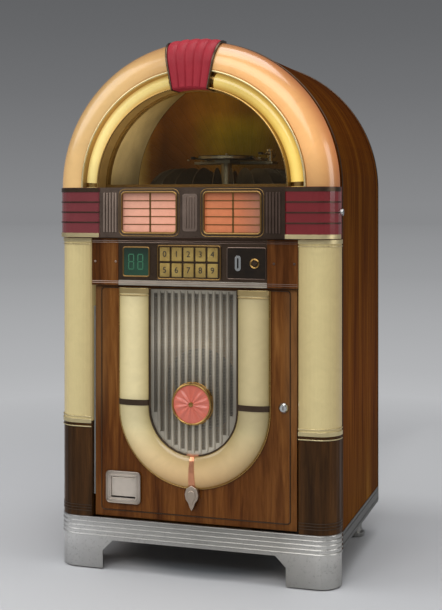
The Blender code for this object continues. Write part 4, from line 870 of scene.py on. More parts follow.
WALNUT = case_veneer()
BASE_WOOD = veneer("pilaster_walnut", ((0.32, "1b0d04"), (0.47, "33200d"), (0.57, "432a13"),
                                       (0.70, "583a1b")), 1.2, swirl=1.0)
DOOR_WOOD = veneer("door_veneer", ((0.30, "301504"), (0.44, "583213"), (0.55, "70451e"),
                                   (0.70, "8f6030")), fall=door_fall)
STRIP_WOOD = veneer("strip_veneer", ((0.30, "281204"), (0.44, "4c290e"), (0.55, "603818"),
                                     (0.70, "7e5228")))
INNER_WOOD = veneer("inner_wood", ((0.3, "241305"), (0.5, "402510"), (0.7, "59391c")), 0.9, 0.06,
                    0.0, 0.5)
BOARD = veneer("plain_board", ((0.30, "7d5c38"), (0.48, "9a784c"), (0.60, "ab895b"),
                               (0.72, "ba9a6e")), 1.6, 0.04, 0.0, 0.3)
CHROME = metal("chrome", "d4d5d3", 0.14, 0.05)
CAST = metal("cast_kick_metal", kick_tone, 0.40, grime="85837e")
NICKEL = metal("satin_nickel", return_tone, 0.30)
STEEL = metal("steel", "a4a4a1", 0.36, 0.08, brushed=(1.0, 1.0, 0.04))
ALLOY = metal("cast_alloy", "9b9a94", 0.42, 0.08, grime="5b5852")
BRASS = metal("old_gold", "b08c52", 0.28, 0.07)
CAP_METAL = metal("cap_metal", "c8b07c", 0.34)
AGED_BRASS = metal("aged_brass", "86693f", 0.36, 0.07)
CHAMPAGNE = metal("champagne_metal", "dccb9c", 0.40)
BRONZE = metal("dark_bronze", "55463a", 0.34, 0.08, grime="2b2119")
GREY_METAL = metal("grille_metal", grille_tone("f2e8d4"), 0.5, brushed=(1.0, 1.0, 0.03))
MESH_METAL = metal("mesh_metal", grille_tone("d2c9b8"), 0.5)
# Its dark grey is partly painted shade on the base rails.
RAIL_METAL = metal("rail_metal", "6b6a67", 0.45, grime="4a4845")
DROP_METAL = metal("drop_metal", "b4a494", 0.34)
SILL_METAL = metal("sill_metal", "bdb4a6", 0.42)
CLASP_METAL = metal("clasp_metal", clasp_tone, 0.34, 0.08)
# Painted light and shade: side_tone and u_tone paint these finishes lit at the left and shaded at the
# right.
MOCHA = metal("mocha_metal", side_tone("b49f90", "64534a"), 0.36)
BELT_METAL = metal("belt_metal", side_tone("746459", "4a3d34"), 0.36, 0.08, grime="2b2119")
PEACH = lit_plastic("peach_plastic", side_tone("e0b87c", "ffc17c"), side_tone("c4955e", "d68650"),
                    across_arch(0.306, 0.414), 0.40, fall=arch_fall, coat=0.22, weakest=0.52)
GOLDEN = lit_plastic("golden_plastic", side_tone("fce494", "ffdc74"), side_tone("d0a453", "e2ac40"),
                     across_arch(0.279, 0.331), 0.52, coat=0.3, fall=tube_fall, weakest=0.70)
RED = lit_plastic("red_plastic", side_tone("863a3f", "88262b"), side_tone("5e2327", "5f191d"),
                  plain(0.5), 0.20, 0.7, coat=0.25)
KEY_RED = lit_plastic("keystone_plastic", "b0333e", "862a33", plain(0.6), 0.28, 0.6, coat=0.02,
                      rough=0.5, specular=0.1)
CREAM = lit_plastic("column_plastic", "dac890", "b29a66", across_column, 0.27, coat=0.3)
U_CREAM = lit_plastic("u_plastic", u_tone("f2e2ae", "cab98a"), u_tone("b8a46c", "907e50"),
                      across_u, 0.28, coat=0.3, fall=u_fall, weakest=0.80)
ROSE = lit_plastic("rose_plastic", "f08570", "bc5b4a", plain(0.5), 0.30, 0.6, coat=0.1)
GREEN = lit_plastic("green_plastic", "28593f", "153524", plain(0.5), 0.13, 0.6, fall=window_fall,
                    weakest=0.35)
SEGMENT = lit_plastic("segment_plastic", "4a8a66", "2c5f44", plain(0.6), 0.16, 0.6)
# Painted shade on the keys' lowest and highest rows.
KEY_GOLD = gloss("key_plastic", "aa9150", "8b7136", 0.3, 0.2,
                 fall=((0.846, 0.72), (0.872, 1.0), (0.900, 0.98), (0.932, 0.76)))
DARK_METAL = gloss("dark_enamel", "21180f", "17100a", 0.6, 0.0, Specular_IOR_Level=0.15)
BLACK = gloss("black_plastic", "1f1d1c", "141312", 0.42, 0.1)
RUBBER = gloss("black_rubber", "232220", "181716", 0.8, 0.0)
CONE = gloss("paper_cone", "2f2c28", "1d1b18", 0.85, 0.0, 120.0)
# Painted light: the trough, the window's reveal, the backboard and the lining glow though they are no
# lamps.
TROUGH = lit_paint("trough_lacquer", trough_tone, 0.22, 0.38, 0.25)
REVEAL_WOOD = lit_paint("door_frame_wood", reveal_tone, 0.12, Specular_IOR_Level=0.2)
LINER = lit_paint("dome_backboard", liner_tone, 0.62, Specular_IOR_Level=0.2)
SIDE_LINER = lit_paint("dome_lining", lining_tone, 0.94, Specular_IOR_Level=0.2)
LAMP = lit_paint("lamp_glow", lambda made: made.cloud(50.0, "ffc070", "ffd69a"), 0.85, 0.4)
GLASS = glass_finish()
FLOOR_AND_FEET = floor_finish()
# Painted light: the standing records' vinyl is painted lighter than the played record's black.
VINYL = vinyl("record_vinyl", 0.28, "332c23", "494136", standing_radius)
PLAYED = vinyl("played_vinyl", 0.24, "1a1815", "26231f", record_radius)
LABELS = label_finish()
CARDS = card_finish()

FINISH_OF = {
    WALNUT: "cabinet_shell",
    FLOOR_AND_FEET: "cabinet_floor",
    INNER_WOOD: "front_frame",
    CAST: "kick_plate",
    STEEL: "upper_hinge lower_hinge rear_hinge cash_box",
    BASE_WOOD: "pilaster_base_left pilaster_base_right",
    CREAM: "pilaster_lens_left pilaster_lens_right",
    PEACH: "colour_cylinder_left colour_cylinder_right arch_lens",
    BRONZE: "control_panel coin_return_button",
    GREEN: "credit_window",
    DARK_METAL: "coin_entry_plate",
    ALLOY: "coin_acceptor amplifier mech_chassis carousel_basket turntable",
    DOOR_WOOD: "lower_door_panel",
    GREY_METAL: "grille",
    ROSE: "grille_medallion",
    U_CREAM: "u_lens",
    CLASP_METAL: "u_clasps",
    NICKEL: "coin_return_cup coin_return_flap",
    REVEAL_WOOD: "upper_door_frame",
    GLASS: "dome_glass",
    TROUGH: "arch_trough",
    GOLDEN: "arch_tube",
    KEY_RED: "keystone",
    RED: "belt_cap_left belt_cap_right",
    BELT_METAL: "title_frame",
    CARDS: "title_lightbox",
    BOARD: "rear_door speaker_baffle",
    CHROME: "upper_door_lock lower_door_lock tonearm gripper_arm",
    CONE: "speaker",
    BLACK: "volume_knob",
    VINYL: "carousel_records",
    RUBBER: "carousel_drive_wheel",
    KEY_GOLD: " ".join("key_%d" % number for number in range(10)),
}
for finish, names in FINISH_OF.items():
    for name in names.split():
        node = NODES[name]
        if not node.material_slots:
            node.data.materials.append(finish)
        for entry in node.material_slots:
            entry.material = finish


# Upper door

def channel(front_y, inner, outer, corner, rear_y, wall=0.003, lip=0.006, steps=14):
    """A hollow moulding's section, from its inner edge over a rounded shoulder to its outer edge."""
    centre = (outer - corner, front_y + corner)
    fall = math.asin((rear_y - centre[1]) / corner)
    skin = [(inner, rear_y)] + arc((inner + lip, front_y + lip), lip, math.pi, 1.5 * math.pi, 4)
    skin += arc(centre, corner, -QUARTER, fall, steps)
    inside = [(inner + wall, rear_y), (inner + wall, front_y + wall + 0.001)]
    inside += arc(centre, corner - wall, -QUARTER, fall, steps)
    return skin + inside[::-1]


def keystone_section(low, lift):
    """The keystone's outline, from its inner edge over its front to the case, lifted off it."""
    return ([(low, DOOR_FRONT_Y), (low, -0.3262 - lift), (low + 0.004, -0.3302 - lift)]
            + arc((0.350, -0.2575), 0.0712 + lift, -QUARTER, 0.0, 12)
            + [(0.4212 + lift, CASE_FRONT_Y), (0.4155, CASE_FRONT_Y), (0.4155, DOOR_FRONT_Y)])


def corner_path(side, inner, front_y, corner, rear_y):
    """The (x, y) line from the inner edge along the front and round the outer corner."""
    points = [(inner, front_y)]
    points += arc((HALF_WIDTH - corner, front_y + corner), corner, -QUARTER, 0, 12)
    points.append((HALF_WIDTH, rear_y))
    return points if side > 0 else [(-x, y) for x, y in points][::-1]


section = channel(ARCH_FRONT_Y, 0.3325, HALF_WIDTH, ARCH_CORNER, PLATE_Y)
piece("arch_lens_moulding", solid(add_sweep, arch_rings(section, 0, math.pi, 120)), PEACH,
      "upper_door", ("arch_lens",))
piece("arch_light_tube",
      solid(add_sweep, arch_rings(circle((TUBE_RADIUS, -0.2909), 0.0210, 28), 0, math.pi, 120)),
      GOLDEN, "upper_door", ("arch_tube",))

shape = bmesh.new()
for start in (0.004, math.pi - 0.044, QUARTER - KEYSTONE_HALF - 0.040, QUARTER + KEYSTONE_HALF):
    add_sweep(shape, arch_rings(circle((TUBE_RADIUS, -0.2912), 0.0219, 24), start, start + 0.040, 6))
trim("arch_tube_ferrules", shape, BRASS, "upper_door")

for name, radius, thick, finish in (("arch_inner_bead", 0.2812, 0.0028, BRASS),
                                    ("arch_outer_bead", 0.3295, 0.0030, CHAMPAGNE)):
    path = arch_path(radius, ARCH_FRONT_Y - 0.0006, 110)
    trim(name, solid(add_tube, path, thick, (0, 1, 0)), finish, "upper_door")

RIB_STEPS = 60
rings = []
for step in range(RIB_STEPS + 1):
    share = step / RIB_STEPS
    lift = 0.0042 * abs(math.sin(5 * math.pi * share)) ** 0.6 - 0.0022
    rings.append(ring_at(keystone_section(0.2775, lift), QUARTER + KEYSTONE_HALF * (1 - 2 * share)))
piece("keystone_ribs", solid(add_sweep, rings), KEY_RED, "upper_door", ("keystone",))

shape = bmesh.new()
for side in (-1, 1):
    add_sweep(shape, [
        ring_at(keystone_section(0.2760, lift), QUARTER + side * (KEYSTONE_HALF + 0.001 + 0.014 * share))
        for share, lift in ((0.0, 0.0006), (0.35, 0.0016), (0.65, 0.0016), (1.0, 0.0006))])
trim("keystone_edges", shape, BRONZE, "upper_door", 0.0004)

for side, label in SIDES:
    path = corner_path(side, BELT_CAP_INNER_X, BELT_FRONT_Y, ARCH_CORNER, DOOR_FRONT_Y)
    shape = bmesh.new()
    for low, high in ((0.9985, 1.0020), (1.0275, 1.0310), (1.0565, 1.0600), (1.0870, 1.0990)):
        add_band(shape, path, 0.0016, low, high)
    trim("belt_cap_trim_" + label, shape, BRONZE, "upper_door", 0.0005)
    trim("belt_cap_foot_" + label, solid(add_band, path, 0.0016, 0.9575, 0.9695), CHAMPAGNE,
         "upper_door", 0.0005)

shape = bmesh.new()
for left, right in both_sides(0.040, 0.206):
    add_bead(shape, rounded(left, right, 0.970, 1.0867, 0.012, 6), -0.3222, 0.0030)
    add_bead(shape, rounded(left - 0.008, right + 0.008, 0.962, 1.0947, 0.018, 6), -0.3216, 0.0014)
trim("title_window_rims", shape, AGED_BRASS, "upper_door")

shape = bmesh.new()
for row in range(5):
    z = TITLE_Z + row * TITLE_PITCH
    for x in (-0.0825, -0.1635, 0.0825, 0.1635):
        add_plate(shape, x - 0.0375, x + 0.0375, z - 0.0092, z + 0.0092, 0.002, -0.3112, -0.3099, 2)
piece("title_strips", shape, CARDS, "upper_door")

shape = bmesh.new()
for row in range(6):
    z = TITLE_Z + (row - 0.5) * TITLE_PITCH
    for x in (-0.123, 0.123):
        add_box(shape, (x - 0.0815, -0.3128, z - 0.0012), (x + 0.0815, -0.3100, z + 0.0012))
for x in (-0.123, 0.123):
    add_box(shape, (x - 0.0022, -0.3128, 0.9710), (x + 0.0022, -0.3100, 1.0857))
trim("title_strip_bars", shape, AGED_BRASS, "upper_door", 0.0003)

shape = solid(add_plate, -0.022, 0.022, 0.976, 1.081, 0.008, -0.3235, -0.3223, 4)
for x in (-0.012, -0.004, 0.004, 0.012):
    add_plate(shape, x - 0.0022, x + 0.0022, 0.984, 1.073, 0.0021, -0.3262, -0.3230)
trim("title_centre_fins", shape, MOCHA, "upper_door", 0.0004)

shape = bmesh.new()
for side in (-1, 1):
    for fin in range(5):
        x = side * (0.2235 + fin * 0.0090)
        add_plate(shape, x - 0.0026, x + 0.0026, 0.972, 1.085, 0.0025, -0.3248, -0.3222)
trim("title_side_fins", shape, MOCHA, "upper_door", 0.0004)


# Lower door

def bulge(inner, outer, edge, rise, steps=18):
    """The U's crown across its width, as (radius, y) points from inner to outer."""
    middle, half = (inner + outer) / 2, (outer - inner) / 2
    points = []
    for step in range(steps + 1):
        share = (-1 + 2 * step / steps) * QUARTER
        points.append((middle + half * math.sin(share),
                       PANEL_Y - edge - (rise - edge) * math.cos(share)))
    return points


skin = bulge(U_INNER, U_OUTER, 0.006, 0.020)
hollow = [(r, y + 0.003) for r, y in skin]
hollow[0] = (U_INNER + 0.003, hollow[0][1])
hollow[-1] = (U_OUTER - 0.003, hollow[-1][1])
section = [(U_INNER, PANEL_Y)] + skin + [(U_OUTER, PANEL_Y), (U_OUTER - 0.003, PANEL_Y)]
section += hollow[::-1] + [(U_INNER + 0.003, PANEL_Y)]
piece("u_light_moulding", solid(add_sweep, u_rings(section, U_TOP_Z, 72, 8)), U_CREAM, "lower_door",
      ("u_lens",))

shape = bmesh.new()
for radius, thick in ((U_OUTER + 0.0022, 0.0026), (U_INNER - 0.0024, 0.0024)):
    path = [ring[0] for ring in u_rings([(radius, PANEL_Y - 0.0022)], 0.8125)]
    add_tube(shape, path, thick, (0, 1, 0))
trim("u_edge_beads", shape, BRASS, "lower_door")

shape = bmesh.new()
cap = [(U_INNER - 0.002, PANEL_Y)] + bulge(U_INNER - 0.002, U_OUTER + 0.002, 0.008, 0.0225)
cap.append((U_OUTER + 0.002, PANEL_Y))
for turn in (0, -math.pi):
    for low, high in ((0.7985, 0.8135), (0.7905, 0.7945)):
        add_sweep(shape, [ring_at(cap, turn, low), ring_at(cap, turn, high)])
trim("u_end_caps", shape, CAP_METAL, "lower_door", 0.0008)

shape = bmesh.new()
for step in range(-31, 32):
    x = step * MESH_PITCH
    add_box(shape, (x - 0.0005, -0.2914, U_CENTRE_Z - chord(MESH_RADIUS, x)),
            (x + 0.0005, -0.2904, 0.806))
for step in range(112):
    z = 0.350 + step * MESH_PITCH
    half = chord(MESH_RADIUS, max(U_CENTRE_Z - z, 0.0))
    if half > 0.01:
        add_box(shape, (-half, -0.2919, z - 0.0005), (half, -0.2909, z + 0.0005))
piece("grille_mesh", shape, MESH_METAL, "lower_door")

shape = bmesh.new()
for bar in range(-5, 6):
    x = bar * 0.0205
    loop = arc((x, -0.2934), 0.0042, math.pi, TURN, 8)
    add_prism(shape, "Z", [loop], U_CENTRE_Z - chord(0.1230, x), 0.8065)
piece("grille_reeds", shape, GREY_METAL, "lower_door")

ROSETTE_RINGS = 14
ROSETTE_TURNS = 120
shape = bmesh.new()
rows = []
for ring in range(1, ROSETTE_RINGS + 1):
    share = ring / ROSETTE_RINGS
    row = []
    for turn in range(ROSETTE_TURNS):
        angle = TURN * turn / ROSETTE_TURNS
        petal = 0.5 + 0.5 * math.cos(12 * angle)
        rise = 0.0160 + 0.0060 * (1 - share ** 2) - 0.0052 * petal * share * (1.15 - share) * 2.4
        radius = 0.0535 * share
        row.append(shape.verts.new((radius * math.cos(angle), PANEL_Y - 0.0030 - rise,
                                    MEDALLION_Z + radius * math.sin(angle))))
    rows.append(row)
hub = shape.verts.new((0, PANEL_Y - 0.0250, MEDALLION_Z))
back = [shape.verts.new((v.co.x, PANEL_Y - 0.0034, v.co.z)) for v in rows[-1]]
for turn in range(ROSETTE_TURNS):
    after = (turn + 1) % ROSETTE_TURNS
    shape.faces.new((hub, rows[0][turn], rows[0][after]))
    for near, far in zip(rows, rows[1:] + [back]):
        shape.faces.new((near[turn], far[turn], far[after], near[after]))
shape.faces.new(back)
piece("medallion_rosette", shape, ROSE, "lower_door", ("grille_medallion",))

shape = bmesh.new()
for radius, thick, y in ((0.0560, 0.0030, -0.3100), (0.0600, 0.0016, -0.2960)):
    add_bead(shape, circle((0.0, MEDALLION_Z), radius, 64), y, thick, 10)
rim = [(0.0535, -0.3095), (0.0535, -0.2938), (0.0600, -0.2938), (0.0585, -0.3095)]
add_turned(shape, rim, "Y", (0, 0, MEDALLION_Z), 64)
boss = [(0, -0.3190), (0.0060, -0.3176), (0.0080, -0.3140), (0.0080, -0.3110), (0, -0.3110)]
add_turned(shape, boss, "Y", (0, 0, MEDALLION_Z), 32)
trim("medallion_rim", shape, BRASS, "lower_door")

shape = bmesh.new()
for grow, y, thick, corner in ((0.0015, -0.2960, 0.0024, 0.010), (-0.0080, -0.2963, 0.0014, 0.004)):
    loop = rounded(-0.262 - grow, -0.162 + grow, 0.196 - grow, 0.282 + grow, corner, 6)
    add_bead(shape, loop, y, thick)
trim("coin_return_trim", shape, NICKEL, "lower_door")

outline = [(0.0, 0.262), (0.016, 0.252), (0.0205, 0.236), (0.0175, 0.222), (0.0100, 0.212),
           (0.0060, 0.200), (0.0, 0.190)]
loop = outline + [(-x, z) for x, z in outline[::-1][1:-1]]
shape = solid(add_prism, "Y", [loop], -0.3098, -0.2912)
small = [(x * 0.62, 0.228 + (z - 0.228) * 0.62) for x, z in loop]
add_prism(shape, "Y", [small], -0.3120, -0.3090)
trim("finial_drop", shape, DROP_METAL, "lower_door", 0.0016)

loop = rounded(-0.2810, 0.2810, 0.1710, 0.8125, 0.010)
trim("lower_door_line", solid(add_bead, loop, PANEL_Y, 0.0016, 6), BRONZE, "lower_door")
rose = [(0.0098, -0.2966), (0.0098, -0.2904), (0.0150, -0.2904), (0.0138, -0.2930)]
trim("lower_lock_rose", solid(add_turned, rose, "Y", (0.262, 0, 0.490), 32), CHROME, "lower_door")


# Control strip

for name, left, right, low, high, corner, y, thick, finish in (
        ("keypad_rim", -0.1030, 0.0830, 0.8410, 0.9350, 0.006, -0.3026, 0.0022, AGED_BRASS),
        ("keypad_border", -0.1066, 0.0866, 0.8374, 0.9386, 0.008, -0.3022, 0.0012, BRONZE),
        ("window_rim", -0.2085, -0.1295, 0.8465, 0.9295, 0.006, -0.3028, 0.0026, AGED_BRASS),
        ("coin_plate_rim", 0.1040, 0.2150, 0.8450, 0.9310, 0.005, -0.3040, 0.0020, MOCHA)):
    trim(name, solid(add_bead, rounded(left, right, low, high, corner, 6), y, thick), finish)

outer = rounded(0.1270, 0.1440, 0.8665, 0.9095, 0.008, 8)
inner = rounded(0.1333, 0.1377, 0.8735, 0.9025, 0.0021, 4)
trim("coin_slot_shield", solid(add_prism, "Y", [outer, inner], -0.3078, -0.3064), CHROME, bevel=0.0005)

shape = bmesh.new()
for radius, thick in ((0.0105, 0.0014), (0.0128, 0.0010)):
    add_bead(shape, circle((0.1835, CONTROL_Z), radius, 36), -0.3066, thick)
trim("return_button_ring", shape, BRASS)

shape = bmesh.new()
for z in (0.8265, 0.8315, 0.9430, 0.9480):
    add_prism(shape, "X", [arc((-0.3022, z), 0.0015, QUARTER, 3 * QUARTER, 6)], -0.3050, 0.3050)
for x in (-0.296, 0.296, -0.232, 0.238):
    add_stud(shape, x, CONTROL_Z, (0.0030, 0.0040), (-0.3055, -0.3048, -0.3030), 20)
trim("control_strip_lines", shape, MOCHA)

shape = solid(add_plate, -0.2235, 0.2180, 0.8205, 0.8350, 0.002, STRIP_FRONT_Y, STRIP_BACK_Y)
trim("control_strip_sill", shape, SILL_METAL, bevel=0.0004)

shape = bmesh.new()
for digit_x in (-0.193, -0.165):
    for z in (0.8655, 0.8865, 0.9075):
        add_box(shape, (digit_x + 0.002, -0.3041, z), (digit_x + 0.016, -0.3033, z + 0.003))
    for z in (0.8685, 0.8895):
        for x in (digit_x, digit_x + 0.015):
            add_box(shape, (x, -0.3041, z), (x + 0.003, -0.3033, z + 0.018))
piece("window_segments", shape, SEGMENT, "cabinet")

shape = bmesh.new()
for left, right in ((-0.3060, -0.2240), (0.2185, 0.3060)):
    add_plate(shape, left, right, 0.8205, 0.9545, 0.003, STRIP_FRONT_Y, STRIP_BACK_Y)
piece("control_strip_ends", shape, STRIP_WOOD, "cabinet", bevel=0.0004)


def digit_shape(text):
    """The outline letters' own mesh for one plain number."""
    curve = bpy.data.curves.new("digit", "FONT")
    curve.body = text
    curve.size = 0.024
    curve.extrude = 0.0004
    curve.align_x = "CENTER"
    curve.align_y = "CENTER"
    maker = linked("digit", curve)
    bpy.context.view_layer.update()
    mesh = bpy.data.meshes.new_from_object(maker)
    bpy.data.objects.remove(maker)
    bpy.data.curves.remove(curve)
    made = bmesh.new()
    made.from_mesh(mesh)
    bpy.data.meshes.remove(mesh)
    return made


for number in range(10):
    key = "key_%d" % number
    low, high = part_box(key)
    middle = Vector(((low[0] + high[0]) / 2, low[1] - 0.0002, (low[2] + high[2]) / 2))
    shape = digit_shape(str(number))
    bmesh.ops.transform(shape, matrix=Matrix.Translation(middle) @ Matrix.Rotation(QUARTER, 4, "X"),
                        verts=shape.verts[:])
    piece("key_number_%d" % number, shape, BLACK, key)


# Columns, case and kick plate

def fluted(path):
    """A path with shallow flutes pressed into it, apart from its first corner and its end."""
    points = []
    run = 0.0
    for index, point in enumerate(path):
        before, after = path[max(index - 1, 0)], path[min(index + 1, len(path) - 1)]
        along = (Vector(after) - Vector(before)).normalized()
        depth = 0.0
        if index:
            run += (Vector(point) - Vector(path[index - 1])).length
        if 2 < index < len(path) - 1:
            depth = 0.0011 * (0.5 - 0.5 * math.cos(TURN * run / 0.0115))
        points.append((point[0] - along.y * depth, point[1] + along.x * depth))
    return points


COLUMN_REAR_Y = CASE_FRONT_Y - SEAT
COLUMN_CENTRE = (HALF_WIDTH - PILASTER_CORNER, PILASTER_FRONT_Y + PILASTER_CORNER)
outer = [(PILASTER_INNER_X, COLUMN_REAR_Y), (PILASTER_INNER_X, PILASTER_FRONT_Y + 0.004)]
outer += [(PILASTER_INNER_X + 0.004 + 0.044 * n / 16, PILASTER_FRONT_Y) for n in range(16)]
outer += arc(COLUMN_CENTRE, PILASTER_CORNER, -QUARTER, 0, 32) + [(HALF_WIDTH, COLUMN_REAR_Y)]
inner = [(PILASTER_INNER_X + 0.003, COLUMN_REAR_Y),
         (PILASTER_INNER_X + 0.003, PILASTER_FRONT_Y + 0.0045)]
inner += arc(COLUMN_CENTRE, 0.0560, -QUARTER, 0, 16) + [(0.411, COLUMN_REAR_Y)]
column = fluted(outer) + inner[::-1]
for side, label in SIDES:
    loop = column if side > 0 else [(-x, y) for x, y in reversed(column)]
    piece("column_lens_" + label, solid(add_prism, "Z", [loop], 0.4253, 0.955), CREAM, "cabinet",
          ("pilaster_lens_" + label,))
    path = corner_path(side, PILASTER_INNER_X, PILASTER_FRONT_Y, PILASTER_CORNER, COLUMN_REAR_Y)
    shape = bmesh.new()
    for low, high in ((0.4190, 0.4310), (0.4365, 0.4395), (0.4080, 0.4110), (0.9435, 0.9550),
                      (0.9360, 0.9385)):
        add_band(shape, path, 0.0022, low, high)
    trim("column_collars_" + label, shape, CHAMPAGNE, bevel=0.0006)
    shape = bmesh.new()
    for low in (0.165, 0.173, 0.181):
        add_band(shape, path, 0.0010, low, low + 0.0022, 0.0001)
    trim("base_lines_" + label, shape, BRONZE)

half_skirt = [(HALF_WIDTH, COLUMN_REAR_Y)] + arc(COLUMN_CENTRE, PILASTER_CORNER, 0, -QUARTER, 10)
skirt = half_skirt + [(-x, y) for x, y in reversed(half_skirt)]
shape = bmesh.new()
for z, thick in ((0.0975, 0.0028), (0.1100, 0.0028), (0.1225, 0.0028), (0.1350, 0.0028),
                 (0.1475, 0.0022)):
    add_tube(shape, [Vector((x, y, z)) for x, y in skirt], thick, (0, 0, 1))
trim("kick_plate_ribs", shape, CAST)

# Rails along the foot of both sides, in metal whose dark grey is partly painted shade.
shape = bmesh.new()
for left, right in both_sides(0.4153, 0.4171):
    add_box(shape, (left, -0.2340, 0.1006), (right, 0.3150, 0.1480))
    face_x = left if left < 0 else right
    for z in (0.1120, 0.1365):
        add_tube(shape, [Vector((face_x, y, z)) for y in (-0.2335, 0.3145)], 0.0014, (0, 0, 1))
trim("base_rails", shape, RAIL_METAL, bevel=0.0005)

shape = bmesh.new()
for y, radius in ((CASE_FRONT_Y + 0.004, 0.4152), (0.3190, 0.4150)):
    feet = [Vector((x, y, 0.104)) for x in (radius, -radius)]
    add_tube(shape, feet[:1] + arch_path(radius, y, 90) + feet[1:], 0.0022, (0, 1, 0))
piece("case_edge_beads", shape, BRONZE, "cabinet")


# Behind the window

loop = [(0.3925, 0.9465)] + arc((0, ARCH_Z), 0.3925, 0, math.pi, 60) + [(-0.3925, 0.9465)]
piece("mech_backboard", solid(add_prism, "Y", [loop], 0.2760, 0.2790), LINER, "cabinet")

RAY_HUB_Z = 1.020
RAY_COUNT = 25
RAY_STEP = 0.004
RAY_LIMIT = 0.384
shape = bmesh.new()
for ray in range(RAY_COUNT):
    turn = math.pi * (ray + 0.5) / RAY_COUNT
    reach = 0.20
    far = 0.0
    while far <= RAY_LIMIT:
        reach += RAY_STEP
        rise = RAY_HUB_Z + reach * math.sin(turn) - ARCH_Z
        far = math.hypot(reach * math.cos(turn), max(rise, 0.0))
    reach -= RAY_STEP
    corners = ((0.085, turn - 0.030), (reach, turn - 0.030), (reach, turn + 0.030), (0.085, turn + 0.030))
    loop = [(radius * math.cos(a), RAY_HUB_Z + radius * math.sin(a)) for radius, a in corners]
    add_prism(shape, "Y", [loop], 0.2705, 0.2765)
piece("backboard_rays", shape, LINER, "cabinet", bevel=0.0012)

section = [(0.3965, -0.2385), (0.3965, 0.2755), (0.3935, 0.2755), (0.3935, -0.2385)]
shape = solid(add_sweep, arch_rings(section, 0, math.pi, 90))
for left, right in both_sides(0.3935, 0.3965):
    add_box(shape, (left, -0.2385, 0.9500), (right, 0.2755, ARCH_Z))
piece("dome_lining", shape, SIDE_LINER, "cabinet")

LAMP_RADIUS = 0.3560
LAMP_Y = -0.2120
shape = bmesh.new()
for start, end in ((0.10, QUARTER - 0.08), (QUARTER + 0.08, math.pi - 0.10)):
    add_sweep(shape, arch_rings(circle((LAMP_RADIUS, LAMP_Y), 0.0085, 16), start, end, 40))
piece("dome_lamps", shape, LAMP, "cabinet")

socket = circle((LAMP_RADIUS, LAMP_Y), 0.0105, 16)
bracket = [(LAMP_RADIUS + 0.008, LAMP_Y - 0.006), (LAMP_RADIUS + 0.008, LAMP_Y + 0.006),
           (0.3945, LAMP_Y + 0.006), (0.3945, LAMP_Y - 0.006)]
shape = bmesh.new()
for angle in (0.085, QUARTER - 0.065, QUARTER + 0.065, math.pi - 0.085):
    add_sweep(shape, arch_rings(socket, angle - 0.020, angle + 0.020, 2))
    add_sweep(shape, arch_rings(bracket, angle - 0.012, angle + 0.012, 1))
piece("lamp_holders", shape, BLACK, "cabinet", bevel=0.0006)


def add_disc(shape, profile, matrix, steps):
    """A profile turned about Z, then moved by a matrix."""
    start = len(shape.verts)
    add_turned(shape, profile, "Z", (0, 0, 0), steps)
    shape.verts.ensure_lookup_table()
    bmesh.ops.transform(shape, matrix=matrix, verts=shape.verts[start:])


records = bmesh.new()
labels = bmesh.new()
half_edge = [(0.0035, 0.0005), (0.0340, 0.0005), (0.0352, 0.00035), (0.0840, 0.00035),
             (0.0870, 0.00075)]
edge = [(radius, -height) for radius, height in half_edge] + [(RECORD_RADIUS, 0.0)] + half_edge[::-1]
paper = [(0.0037, -0.0008), (0.0335, -0.0008), (0.0335, 0.0008), (0.0037, 0.0008)]
for index in range(RECORD_COUNT):
    angle = (index + 0.5) * TURN / RECORD_COUNT
    across = Vector((math.cos(angle), math.sin(angle), 0))
    middle = Vector((0, MECH_Y, RECORD_BOTTOM_Z + RECORD_RADIUS)) + across * RECORD_RING
    turn = Matrix.Rotation(angle, 4, "Z") @ Matrix.Rotation(QUARTER, 4, "X")
    add_disc(records, edge, Matrix.Translation(middle) @ turn, 56)
    add_disc(labels, paper, Matrix.Translation(middle) @ turn, 36)
slotted = [(0.1500, 0.9640), (0.1650, 0.9640), (0.1650, 0.9885), (0.1500, 0.9885)]
add_turned(records, slotted, "Z", (0, MECH_Y, 0), 72)
piece("record_set", records, VINYL, "carousel", ("carousel_records",))
piece("record_label_set", labels, LABELS, "carousel")

WIRES = (((0.1985, 0.966), (0.1985, 1.000), (0.196, 1.010), (0.188, 1.016), (0.180, 1.010),
          (0.1775, 1.000), (0.1775, 0.966)),
         ((0.0545, 1.046), (0.060, 1.054), (0.068, 1.050), (0.071, 1.040), (0.071, 0.966)))
shape = bmesh.new()
for index in range(RECORD_COUNT):
    angle = index * TURN / RECORD_COUNT
    across = Vector((math.cos(angle), math.sin(angle), 0))
    for wire in WIRES:
        path = [Vector((0, MECH_Y, z)) + across * out for out, z in wire]
        add_tube(shape, path, 0.0012, (-across.y, across.x, 0), 6)
trim("basket_wires", shape, CHROME, "carousel")

played = [(0.0040, 0.0), (0.0345, 0.0), (0.0352, 0.0003), (0.0840, 0.0003), (0.0868, 0.0),
          (RECORD_RADIUS, 0.0007), (0.0868, 0.0015), (0.0840, 0.0012), (0.0352, 0.0012),
          (0.0345, 0.0015), (0.0040, 0.0015)]
piece("playing_record", solid(add_turned, played, "Z", (0, MECH_Y, PLAYED_Z), 72), PLAYED, "turntable")
paper = [(0.0043, 0.0014), (0.0335, 0.0014), (0.0335, 0.0018), (0.0043, 0.0018)]
piece("playing_record_label", solid(add_turned, paper, "Z", (0, MECH_Y, PLAYED_Z), 48), RED,
      "turntable")


# Mechanism

shape = bmesh.new()
for head, places in (
        ([(0.0045, 1.1862), (0.0045, 1.1895), (0.0030, 1.1905)], ((-0.117, 0.00), (-0.117, 0.128))),
        ([(0.0060, 0.9453), (0.0060, 0.9490), (0.0042, 0.9505)],
         ((-0.36, -0.20), (0.36, -0.20), (-0.36, 0.255), (0.36, 0.255), (0.0, -0.205), (0.0, 0.258)))):
    for x, y in places:
        add_drum(shape, head, "Z", (x, y, 0), 6)
piece("deck_bolts", shape, STEEL, "cabinet")

